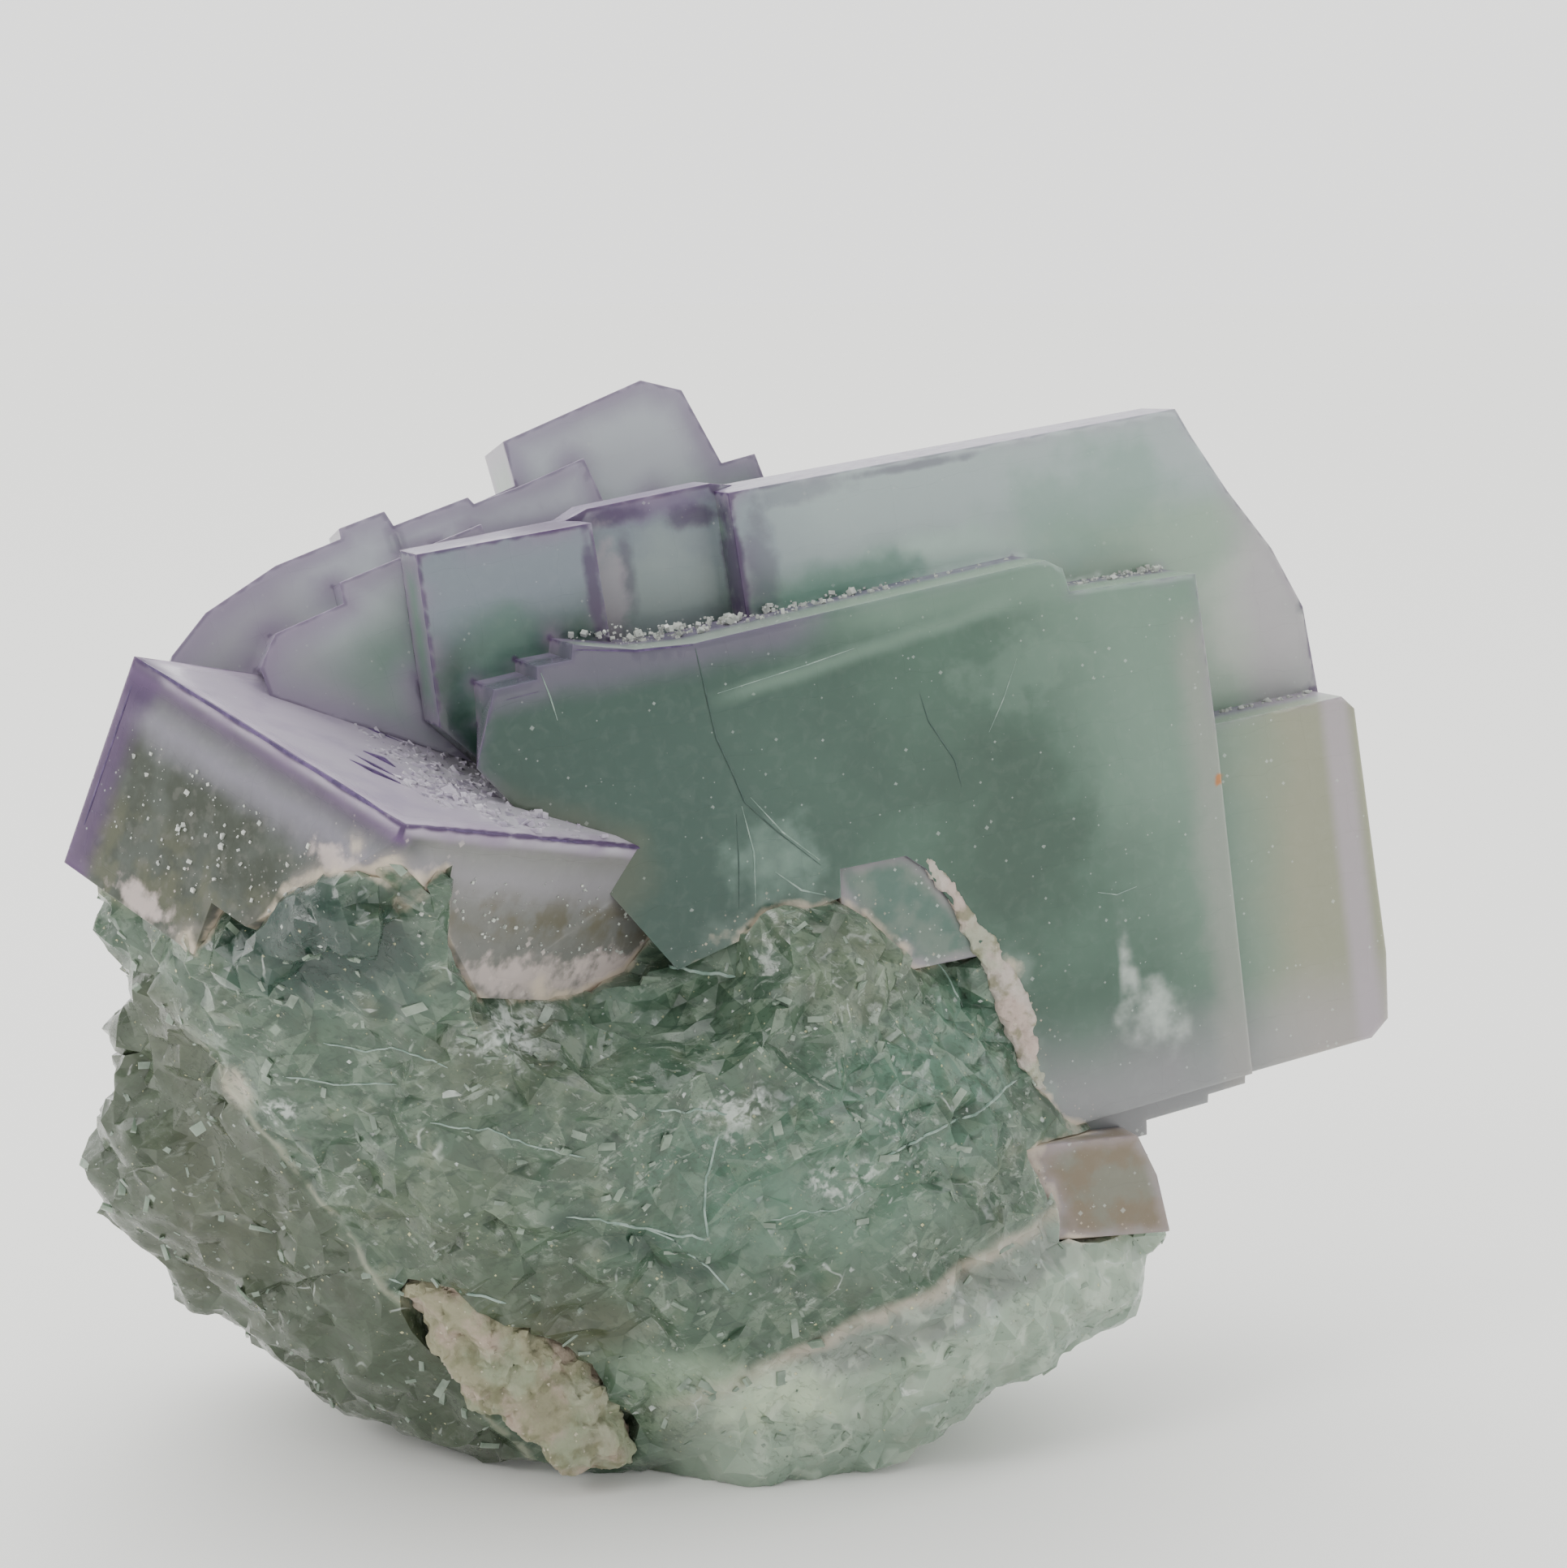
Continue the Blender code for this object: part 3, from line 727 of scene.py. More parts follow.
def left_crystal_material():
    """Lilac skin over grey green, dark purple edges and a brownish speckle near the broken rim."""
    stone = Stone("left_crystal_fluorite", (58, 64, 54), 0.26)
    top = stone.band(stone.z, -0.7, -0.1)
    side = stone.without(top)
    depth = stone.wander(stone.z, 0.3, 1.6)
    low = stone.band(depth, -6.0, -9.0)
    stone.mottle(0.3, 4.0, 0.4, 0.65, (80, 86, 80), 0.8)
    stone.mottle(0.5, 5.0, 0.42, 0.6, OLIVE, 0.75, low)
    stone.mottle(1.1, 6.0, 0.52, 0.66, (104, 104, 98), 0.35, side)
    stone.belt(depth, -3.6, -1.4, 1.2, (138, 134, 148), 0.7)
    stone.zone(stone.y, 0.5, 3.0, (146, 144, 142), 0.45)
    stone.tint(top, (170, 161, 177), 0.95)
    stone.mottle(0.25, 4.0, 0.45, 0.7, (140, 128, 152), 0.5, top)
    stone.zone(stone.x, -15.0, -9.0, FROST, 0.25, top, stone.band(stone.y, 6.0, 10.0))
    growth_texture(stone)
    grown_edges = stone.both(stone.band(stone.z, -1.1, -0.5), stone.band(stone.y, 30.0, 26.0))
    edge_lines(stone, 0.34, 0.95, 5.0, 0.8, grown_edges)
    stone.frost(stone.band(stone.stored("edge_mm"), 1.4, 0.0), 0.6)
    edge_lines(stone, 0.30, 0.7, 4.0, 0.8, stone.band(stone.x, -21.0, -22.5))
    left_edge = stone.band(stone.wander(stone.x, 0.6, 1.0), -20.6, -22.8)
    stone.tint(stone.both(side, left_edge), (84, 62, 98), 0.8)
    stone.spot((-22.6, 0.0, -0.6), (2.6, 2.0, 2.4), 0.2, 0.4, PURPLE, 0.8)
    ridge = stone.both(side, stone.band(stone.z, -1.9, -0.2), stone.band(stone.y, 1.0, 0.1))
    stone.tint(ridge, (98, 76, 112), 0.75)
    grains = stone.both(side, stone.band(depth, -2.0, -5.0), stone.sparkle(2.4, 0.16)["Mask"])
    stone.tint(grains, FROST, 0.5)
    # pale shards along the break
    x_face = stone.band(stone.x, -0.7, -0.1)
    rusty = stone.both(side, x_face, stone.between(depth, -5.6, -3.4, 1.0),
                       stone.band(stone.cloud(0.6, 5.0), 0.4, 0.6))
    stone.tint(rusty, (92, 86, 66), 0.65)
    for centre, radii in (((-16.4, 0.0, -11.8), (3.0, 2.0, 1.0)), ((0.0, 2.2, -3.6), (2.0, 2.0, 1.6)),
                          ((0.0, 4.6, -6.4), (2.0, 1.2, 2.0)), ((0.0, 13.0, -8.2), (2.0, 7.4, 1.5)),
                          ((-3.4, 0.0, -3.6), (2.4, 2.0, 0.9)), ((0.0, 20.0, -7.4), (2.0, 4.0, 1.5))):
        stone.spot(centre, radii, 0.5, 1.2, (196, 182, 178), 0.8)
    crushed = stone.both(side, stone.band(stone.stored("rim_mm"), 2.6, 0.6),
                         stone.sparkle(2.0, 0.35)["Mask"])
    stone.tint(crushed, (206, 196, 190), 0.6)
    broken_rim(stone, 0.5, 1.0, (150, 142, 138))
    return stone.finish()


def rear_crystal_material():
    """Pale lilac plates with a blue green heart and purple outer edges."""
    stone = Stone("rear_crystal_fluorite", (112, 134, 124), 0.28)
    stone.mottle(0.12, 3.0, 0.4, 0.6, (136, 152, 146), 0.8)
    high = stone.band(stone.wander(stone.y, 0.2, 3.0), -2.0, 4.0)
    stone.tint(high, (190, 194, 200), 0.85)
    stone.zone(stone.wander(stone.x, 0.2, 3.0), -3.0, -8.0, (146, 140, 152), 0.7)
    far_side = stone.stored("far_side")
    stone.tint(far_side, SOFT_GREEN, 0.7)
    stone.mottle(0.09, 3.0, 0.25, 0.75, MID_GREEN, 0.7, far_side)
    stone.zone(stone.stored("edge_mm"), 2.4, 0.2, LILAC, 0.5, far_side)
    growth_texture(stone)
    distance = stone.stored("edge_mm")
    stone.zone(stone.wander(distance, 0.5, 1.0), 2.4, 0.0, (138, 126, 150), 0.7)
    edge_lines(stone, 0.3, 0.45, 4.0, 0.4)
    stone.mottle(1.2, 6.0, 0.35, 0.7, LILAC, 0.6, stone.stored("ledge"))
    return stone.finish(coat=0.1)


def small_crystal_material(name, colour, edge_strength):
    stone = Stone(name, colour, 0.36)
    stone.mottle(0.5, 4.0, 0.4, 0.6, (118, 128, 118), 0.5)
    growth_texture(stone)
    distance = stone.stored("edge_mm")
    stone.zone(stone.wander(distance, 0.8, 0.8), 0.9, 0.1, (160, 150, 152), 0.45)
    edge_lines(stone, 0.2, edge_strength, 4.0, 0.3)
    grains = stone.sparkle(2.6, 0.2)
    stone.tint(grains["Mask"], FROST, 0.6)
    broken_rim(stone, 0.6, 1.6)
    return stone.finish(coat=0.1)


def base_material():
    """Broken glassy green: each chip has its own tone, with pale cracks and flecks between them."""
    stone = Stone("broken_green_fluorite", (72, 94, 76), 0.2, glow=0.25)
    tree = stone.tree
    wide = 40.0
    for centre, radii, colour, strength in (
            ((-22.0, 0.0, 34.0), (8.0, wide, 5.0), (40, 74, 62), 0.9),
            ((9.0, 0.0, 25.0), (9.0, wide, 7.0), (82, 116, 98), 0.8),
            ((-3.0, 0.0, 20.0), (8.0, wide, 7.0), (66, 100, 82), 0.8),
            ((-14.0, 0.0, 27.5), (8.0, wide, 4.0), (84, 90, 70), 0.7),
            ((6.0, 0.0, 30.5), (6.0, wide, 4.0), (112, 124, 100), 0.65),
            ((-18.0, 0.0, 18.0), (8.0, wide, 5.0), (88, 102, 80), 0.75),
            ((-11.0, 0.0, 10.5), (6.5, wide, 3.6), (86, 86, 66), 0.8),
            ((-4.0, 0.0, 6.0), (5.0, wide, 3.5), (138, 156, 130), 0.75),
            ((2.0, 0.0, 3.5), (4.0, wide, 3.0), (168, 184, 158), 0.7),
            ((-36.0, 0.0, 37.0), (5.0, wide, 2.2), (182, 178, 148), 0.8),
            ((-29.6, 0.0, 25.5), (1.2, wide, 1.6), (192, 180, 160), 0.8),
            ((-34.0, 0.0, 28.0), (4.0, wide, 5.0), (104, 112, 92), 0.7),
            ((-32.0, 0.0, 17.0), (6.0, wide, 7.0), (78, 80, 58), 0.75)):
        stone.spot(centre, radii, 0.35, 0.12, colour, strength)
    tone = stone.stored("chip_tone")
    fine = stone.stored("chip_fine")
    stone.zone(tone, 0.6, 1.0, (138, 154, 134), 0.30)
    stone.zone(tone, 0.5, 0.0, (40, 60, 48), 0.35)
    stone.zone(fine, 0.7, 1.0, (150, 164, 148), 0.28)
    stone.zone(fine, 0.4, 0.0, (44, 60, 48), 0.35)
    stone.mottle(0.4, 5.0, 0.55, 0.75, (136, 142, 118), 0.35)
    stone.mottle(0.3, 5.0, 0.47, 0.34, (58, 60, 44), 0.35)
    stone.grit(1.5, 0.5, 0.35, (172, 184, 172), (40, 60, 48), 0.55)
    stone.grit(3.2, -0.6, 0.4, (168, 178, 164), (46, 62, 48), 0.45)
    block = stone.patch((-23.5, -20.0, 36.2), (7.0, 14.0, 5.4), 0.2, 0.2)
    stone.tint(block, (14, 46, 37), 0.95)
    stone.spot((-8.0, 0.0, 28.6), (4.0, wide, 3.0), 0.3, 0.3, (118, 152, 132), 0.25)
    stone.spot((4.0, 0.0, 18.0), (9.0, wide, 5.0), 0.3, 0.3, (108, 142, 122), 0.4)
    stone.spot((-5.5, 0.0, 8.0), (5.0, wide, 2.6), 0.3, 0.3, (150, 172, 146), 0.5)
    # growth zones cut by the break at the lower right
    along = calc(tree, "SUBTRACT", calc(tree, "SUBTRACT", stone.z, 7.9),
                 calc(tree, "MULTIPLY", stone.x, 0.41))
    along = stone.wander(along, 0.3, 2.0)
    right = stone.band(stone.x, -8.0, 1.0)
    stone.zone(along, 0.6, -0.4, (136, 144, 136), 0.75, right)
    stone.zone(along, -2.6, -3.6, (158, 176, 156), 0.75, right)
    stone.zone(along, -6.0, -8.5, (112, 132, 118), 0.6, right)
    stone.belt(along, -0.4, 0.5, 0.5, (178, 168, 152), 0.75, right)
    stone.spot((0.8, 0.0, 6.0), (4.2, wide, 3.0), 0.3, 0.3, (190, 206, 178), 0.9)
    # painted shadow: a dark green band just under the long fracture line
    for centre, radii in (((-10.6, 0.0, 18.6), (2.4, wide, 0.9)), ((-7.2, 0.0, 16.7), (2.6, wide, 1.1)),
                          ((-4.0, 0.0, 14.8), (2.4, wide, 0.9))):
        stone.spot(centre, radii, 0.2, 0.3, (28, 56, 44), 0.75)
    # the left side turns away below a pale ridge: it is browner, and darker with painted shade
    ridge = stone.wander(calc(tree, "ADD", stone.x, calc(tree, "MULTIPLY", stone.z, 0.66)), 0.3, 2.4, 6.0)
    shaded_left_side = stone.both(stone.band(ridge, -12.4, -14.0), stone.band(stone.z, 33.0, 30.0))
    stone.tint(shaded_left_side, (62, 68, 50), 0.65)
    stone.spot((-14.0, 0.0, 12.0), (8.0, wide, 6.0), 0.3, 0.2, (70, 74, 54), 0.5)
    worn = stone.both(stone.band(stone.z, 30.0, 26.0), stone.band(stone.cloud(0.6, 5.0), 0.36, 0.5))
    stone.tint(stone.both(stone.between(ridge, -13.1, -12.7, 0.3), worn), (160, 162, 142), 0.65)
    # every chip catches the light its own way, also in the pale zones
    lower_right = stone.both(right, stone.band(along, 0.8, -0.2))
    stone.zone(tone, 0.5, 0.0, (112, 134, 118), 0.4, lower_right)
    stone.zone(fine, 0.6, 1.0, (196, 206, 190), 0.4, lower_right)
    stone.mottle(0.5, 5.0, 0.5, 0.7, (136, 144, 128), 0.4, lower_right)
    # cracks, crushed white spots and flecks
    for scale, width, cover, strength in ((0.16, 0.012, 0.42, 0.55), (0.36, 0.014, 0.34, 0.3)):
        crack = stone.cracks(scale, width, cover)
        stone.tint(crack, FROST, strength)
        stone.raise_by(crack, 0.02)
    for centre, radii in (((4.9, -14.0, 19.5), (2.6, 9.0, 1.9)), ((-1.5, -16.0, 24.0), (2.4, 9.0, 1.6)),
                          ((-14.0, -16.0, 29.5),
                           (3.0, 9.0, 1.6)), ((-27.0, -16.0, 24.5), (1.5, 9.0, 0.9))):
        white = stone.patch(centre, radii, 0.7, 0.8)
        crushed = stone.band(stone.cloud(1.6, 6.0, 0.5), 0.42, 0.62)
        stone.tint(stone.both(white, crushed), FROST, 0.75)
    for scale, amount, colour in ((1.9, 0.10, FROST), (3.4, 0.12, (206, 204, 160)),
                                  (0.9, 0.06, PALE_GREEN)):
        fleck = stone.sparkle(scale, amount)
        stone.tint(fleck["Mask"], colour, 0.8)
        stone.raise_by(fleck["Height"], 0.08)
    near = stone.wander(stone.stored("rim_mm"), 0.8, -1.4)
    away = stone.without(stone.both(block, stone.band(stone.z, 38.6, 38.0)))
    pale = stone.both(stone.band(near, 1.6, 0.2), stone.band(stone.cloud(0.3), 0.4, 0.6), away)
    stone.tint(pale, PALE_GREEN, 0.25)
    rim = stone.both(stone.band(near, 0.6, 0.0), away)
    stone.tint(rim, CREAM, 0.75)
    stone.frost(rim, 0.5)
    stone.raise_by(stone.cloud(0.6, 6.0, 0.4), 0.10)
    return stone.finish(coat=0.35)


def crust_material(name, pink=False):
    stone = Stone(name, (190, 180, 172) if pink else (150, 147, 122), 0.7)
    stone.mottle(0.4, 5.0, 0.45, 0.6, (186, 164, 154), 0.6)
    stone.mottle(0.3, 5.0, 0.48, 0.62, (148, 160, 134), 0.6)
    stone.mottle(0.9, 6.0, 0.5, 0.66, (120, 120, 92), 0.75)
    grains = stone.sparkle(2.6, 0.4)
    stone.tint(grains["Mask"], (214, 206, 186), 0.8)
    stone.raise_by(grains["Height"], 0.10)
    stone.raise_by(stone.cloud(2.2, 6.0), 0.2)
    return stone.finish()


def pale_growth_material(name, colour, other):
    """Tiny crystals along the ledges and in the etched top of the left crystal."""
    stone = Stone(name, colour, 0.16)
    stone.mottle(1.2, 3.0, 0.4, 0.6, other, 0.8)
    stone.raise_by(stone.cloud(6.0, 3.0), 0.02)
    return stone.finish(coat=0.5)


def line_material(name, colour, other):
    stone = Stone(name, colour, 0.4)
    stone.mottle(1.5, 3.0, 0.4, 0.6, other, 0.8)
    stone.raise_by(stone.cloud(5.0, 3.0), 0.02)
    return stone.finish()


# ---------------------------------------------------------------- pieces

# Where the crystals break off at the base, in each crystal's own axes: the face's axis, how deep under
# the face the rod lies that fills the base out there, the rod's radius, and its line (mm).
BROKEN_RIMS = [
    ("main_crystal", "z", 0.9, 0.7, [(6.3, -21.6), (6.5, -19.0), (6.0, -13.9), (5.2, -11.4)]),
    ("main_crystal", "z", 2.1, 1.9, [(4.8, -10.4), (5.2, -13.0), (5.2, -16.0)]),
    ("main_crystal", "z", 0.9, 0.7, [(-4.6, -4.9), (-8.1, -5.3), (-11.6, -5.2)]),
    ("main_crystal", "z", 1.2, 1.2, [(-7.0, -6.6), (-10.5, -6.8), (-14.4, -7.6), (-19.0, -8.4)]),
    ("left_crystal", "y", 1.3, 0.7, [(-22.4,
                                      -13.4), (-17.3, -12.0), (-14.4, -10.3), (-9.5, -9.5), (-7.3, -8.8),
                                     (-5.6, -6.8), (-4.6, -4.5), (-2.8, -2.6)]),
    ("left_crystal", "y", 0.9, 1.6, [(-12.6, -12.8), (-11.3, -11.4), (-10.0, -11.6), (-8.2, -12.2)]),
    ("left_crystal", "y", 0.9, 1.6,
     [(-8.0, -12.2), (-6.4, -9.9), (-4.9, -7.6), (-2.6, -5.6), (-1.2, -6.4)]),
    ("left_crystal", "x", 1.3, 0.7, [(1.4, -2.0), (3.4, -3.3), (6.4, -6.3), (8.9, -8.3), (12.2, -7.6),
                                     (15.7, -9.0), (21.0, -9.9), (24.5, -8.0)]),
]


def fill_along(shape, axes, face_axis, depth, radius, line):
    """Adds a rod to the base along a crystal's broken rim, just under the crystal's face."""
    place = {"z": lambda a, b: (a, b, -depth), "y": lambda a, b: (a, depth, b),
             "x": lambda a, b: (-depth, a, b)}[face_axis]
    points = [axes @ (Vector(place(*spot)) * MM) for spot in line]
    for start, end in zip(points, points[1:]):
        along = (end - start).to_track_quat("Z", "Y").to_matrix().to_4x4()
        bmesh.ops.create_cone(shape, cap_ends=True, segments=12, radius1=radius * MM, radius2=radius * MM,
                              depth=(end - start).length,
                              matrix=Matrix.Translation((start + end) / 2) @ along)
        bmesh.ops.create_icosphere(shape, subdivisions=2, radius=radius * MM,
                                   matrix=Matrix.Translation(end))


def knobbly_left(points):
    """The base's left side drawn in under the left crystal, let out lower down and broken into knobs."""
    x = points[:, 0] / MM
    z = points[:, 2] / MM
    side = np.clip((-24.0 - x) / 12.0, 0.0, 1.0)
    drawn_in = np.interp(z, [4.0, 10.0, 15.0, 18.5, 21.5, 24.5, 28.0, 33.0, 40.0],
                         [0.0, -1.5, -2.4, -2.2, 0.0, 2.2, 2.4, 1.4, 0.6])
    knobs = ripples(points, 3.4 * MM, 17.0) * 1.6
    moved = points.copy()
    moved[:, 0] += side * (drawn_in - knobs) * MM
    return moved


def broken_base():
    """The base, with a chipped and rippled skin."""
    shape = bmesh.new()
    shape.from_mesh(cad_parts["fractured_base"].data)
    bmesh.ops.remove_doubles(shape, verts=shape.verts, dist=0.004 * MM)
    for node, face_axis, depth, radius, line in BROKEN_RIMS:
        fill_along(shape, crystal_axes(node), face_axis, depth, radius, line)
    shape = even_skin(shape, BASE_GRAIN)
    move_points(shape, knobbly_left(points_of(shape)))
    start = points_of(shape)
    crushed = np.clip(0.6 + 1.8 * ripples(start, 9.0 * MM, 41.0), 0.18, 1.0)
    height = ripples(start, 7.0 * MM,
                     1.0) * 0.75 * MM + ripples(start, 2.6 * MM, 2.0) * 0.48 * MM * crushed + 0.2 * MM
    height += chips(warped(start, 4.0 * MM, 0.8 * MM, 4.0), 3.6 * MM, 0.12, 0.10 * MM, 12)[0] * crushed
    move_points(shape, start + normals_of(shape) * height[:, None])
    shape = broken_into_facets(shape, BASE_FACETS)
    rng = random.Random(31)
    tone = shape.faces.layers.float.new("chip_tone")
    for face in shape.faces:
        face[tone] = rng.random()
    divide_faces(shape, BASE_GRAIN * 2)
    start = points_of(shape)
    small = chips(warped(start, 2.0 * MM, 0.4 * MM, 8.0), 1.1 * MM, 0.12, 0.015 * MM, 13)
    moved = start + normals_of(shape) * small[0][:, None]
    moved[:, 2] = np.maximum(moved[:, 2], 0.0)
    move_points(shape, moved)
    rim = distance_to(surface_tree(*[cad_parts[node].data for node in TURN]), moved)
    base = new_piece("broken_base", shape, Matrix.Identity(4), base_material(), 24.0)
    store(base.data, "rim_mm", rim)
    store(base.data, "chip_fine", small[1])
    return base


def distance_to(tree, points):
    """Distance in mm from each point to the nearest surface of a BVH tree."""
    return [tree.find_nearest(Vector(p))[3] / MM for p in points]


def surface_tree(*meshes):
    """A BVH tree of the meshes as they stand, without their objects' places."""
    shape = bmesh.new()
    for mesh in meshes:
        shape.from_mesh(mesh)
    tree = BVHTree.FromBMesh(shape)
    shape.free()
    return tree


def swell(shape, amount):
    """Moves every face outward, which closes the working gap between neighbours."""
    shape.normal_update()
    moves = [vert.normal * vert.calc_shell_factor() * amount for vert in shape.verts]
    for vert, move in zip(shape.verts, moves):
        vert.co += move if move.length < 3 * amount else move.normalized() * 3 * amount


def reach_under_neighbours(shape):
    """Pushes the left crystal's hidden side on, under the plates of the main crystal."""
    for vert in shape.verts:
        if vert.co.y > 12 * MM:
            vert.co.y += 3.2 * MM * min(1.0, max(0.0, (vert.co.x / MM + 23.5) / 4))


def reach_to_the_left(shape):
    """Pushes the lower left edge of the main crystal's front plate on, into the left crystal."""
    for vert in shape.verts:
        x, y, z = vert.co / MM
        if z > -3.0 and -24.5 < x < -11.0 and y < 10.0:
            vert.co += Vector((-1.5, -1.7, 0.0)) * MM


def facing_away(piece):
    """For each point, 1 where a face around it looks to the back, to a side or down, and 0 elsewhere."""
    away = np.zeros(len(piece.data.vertices))
    turn = piece.matrix_world.to_3x3()
    for face in piece.data.polygons:
        way = turn @ face.normal
        hidden = way.y > 0.35 or abs(way.x) > 0.78 or way.z < -0.75
        for i in face.vertices:
            away[i] = max(away[i], float(hidden)) if hidden else away[i]
    return away


def crystal_piece(node, name, material, base_tree, wear=WORN_EDGE, change=None):
    axes = crystal_axes(node)
    shape = whole_faces(node, axes)
    swell(shape, WORKING_GAP)
    if change:
        change(shape)
    edges = point_tree(edge_points(shape, 0.4 * MM))
    wear_edges(shape, wear)
    divide_faces(shape, FACE_GRID)
    points = points_of(shape)
    edge_mm = [edges.find(Vector(p))[2] / MM for p in points]
    rim_mm = distance_to(base_tree, [axes @ Vector(p) for p in points])
    upward = normals_of(shape)[:, 1]
    piece = new_piece(name, shape, axes, material)
    store(piece.data, "edge_mm", edge_mm)
    store(piece.data, "rim_mm", rim_mm)
    store(piece.data, "ledge", np.clip((upward - 0.5) * 3.0, 0.0, 1.0))
    store(piece.data, "far_side", facing_away(piece))
    return piece


def crust_piece():
    shape = bmesh.new()
    shape.from_mesh(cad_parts["pale_crust"].data)
    bmesh.ops.remove_doubles(shape, verts=shape.verts, dist=0.004 * MM)
    shape = even_skin(shape, CRUST_GRAIN)
    start = points_of(shape)
    height = chips(warped(start, 2.0 * MM, 0.8 * MM, 6.0), 1.6 * MM, 0.2, 0.08 * MM, 21)[0]
    height += ripples(start, 4.6 * MM, 9.0) * 1.3 * MM + ripples(start, 1.6 * MM, 12.0) * 0.3 * MM
    move_points(shape, start + normals_of(shape) * height[:, None])
    shape = broken_into_facets(shape, 9000)
    return new_piece("cream_crust", shape, Matrix.Identity(4), crust_material("cream_crust"), 40.0)


def crusted_rim(name, axes, line, material):
    """A low rough ridge of pale growth along the broken rim of a crystal's front face. Each point of the
    line is (x, y, radius), in mm."""
    rng = random.Random(44)
    shape = bmesh.new()
    for x, y, radius in stepped([Vector(corner) for corner in line]):
        place = Vector((x + rng.gauss(0, 0.06), y, rng.uniform(-0.1, 0.05))) * MM
        turn = Euler([rng.gauss(0, 0.25) for _ in range(3)]).to_matrix().to_4x4()
        grow = Matrix.Diagonal((rng.uniform(0.8, 1.1), rng.uniform(1.2, 1.6), rng.uniform(0.45, 0.6),
                                1.0))
        bmesh.ops.create_icosphere(shape, subdivisions=2, radius=radius * MM,
                                   matrix=Matrix.Translation(place) @ turn @ grow)
    shape = even_skin(shape, CRUST_GRAIN * 0.7)
    start = points_of(shape)
    height = ripples(start, 1.8 * MM, 5.0) * 0.3 * MM + ripples(start, 0.6 * MM, 6.0) * 0.1 * MM
    move_points(shape, start + normals_of(shape) * height[:, None])
    return new_piece(name, broken_into_facets(shape, 5000), axes, material, 24.0)


def stepped(corners):
    """Points along a route, evenly spaced between its corners."""
    return [a.lerp(b, i / ROUTE_STEPS) for a, b in zip(corners, corners[1:]) for i in range(ROUTE_STEPS)]


def crumbs(name, axes, spots, material, seed, stretch=(1.0, 1.0, 1.0)):
    """A scatter of tiny cubes. Each spot is (corner, corner, count, smallest, largest), in mm."""
    rng = random.Random(seed)
    shape = bmesh.new()
    for low, high, count, smallest, largest in spots:
        for _ in range(count):
            place = Vector([rng.uniform(low[i], high[i]) for i in range(3)]) * MM
            size = (smallest + (largest - smallest) * rng.random() ** 3) * MM
            turn = Euler([rng.gauss(0.0, 0.3) for _ in range(3)]).to_matrix().to_4x4()
            grow = Matrix.Diagonal([rng.uniform(0.6, 1.4) * way for way in stretch] + [1.0])
            bmesh.ops.create_cube(shape, size=size, matrix=Matrix.Translation(place) @ turn @ grow)
    return new_piece(name, shape, axes, material, 30.0)


def on_face(lines, height):
    """Lines drawn in X and Y, (thickness, points), at this height in mm over a crystal's main face."""
    return [(thickness, [(x, y, height) for x, y in route]) for thickness, route in lines]


def hairlines(name, axes, lines, material):
    """Thin lines on a face. Each line is (thickness, points), in mm, and tapers at both ends."""
    shape = bmesh.new()
    for thickness, route in lines:
        points = [Vector(p) * MM for p in route]
        rings = []
        for i, point in enumerate(points):
            ahead = points[min(i + 1, len(points) - 1)] - points[max(i - 1, 0)]
            side = ahead.orthogonal().normalized()
            other = ahead.cross(side).normalized()
            reach = thickness * (0.35 if i in (0, len(points) - 1) else 1.0) * MM
            corners = (point + side * reach, point + other * reach, point - side * reach,
                       point - other * reach)
            rings.append([shape.verts.new(corner) for corner in corners])
        for near, far in zip(rings, rings[1:]):
            for i in range(4):
                shape.faces.new((near[i], near[(i + 1) % 4], far[(i + 1) % 4], far[i]))
        shape.faces.new(rings[0][::-1])
        shape.faces.new(rings[-1])
    bmesh.ops.recalc_face_normals(shape, faces=shape.faces)
    return new_piece(name, shape, axes, material, 60.0)


def flecks(name, piece, count, material, seed, sizes, front_share=0.75):
    """Tiny tilted cleavage flakes set into a piece's surface, most of them on its front."""
    rng = random.Random(seed)
    mesh = piece.data
    faces = [face for face in mesh.polygons if face.center.z > 1.5 * MM]
    front = [face for face in faces if face.normal.y < -0.2]
    shape = bmesh.new()
    for _ in range(count):
        face = rng.choice(front if rng.random() < front_share else faces)
        smallest, largest = sizes
        size = (smallest + (largest - smallest) * rng.random() ** 4) * MM
        tilt = Euler((rng.gauss(0, 0.35), rng.gauss(0, 0.35),
                      rng.uniform(0, math.pi))).to_matrix().to_4x4()
        grow = Matrix.Diagonal((rng.uniform(0.8, 2.6), rng.uniform(0.4, 1.0), 0.28, 1.0))
        stand = face.normal.to_track_quat("Z", "Y").to_matrix().to_4x4()
        bmesh.ops.create_cube(shape, size=size,
                              matrix=Matrix.Translation(face.center) @ stand @ tilt @ grow)
    return new_piece(name, shape, Matrix.Identity(4), material, 30.0)


base = broken_base()
hang_on_root(base, "fractured_base", "fractured_base")
base_tree = surface_tree(base.data)
main_axes = crystal_axes("main_crystal")
left_axes = crystal_axes("left_crystal")

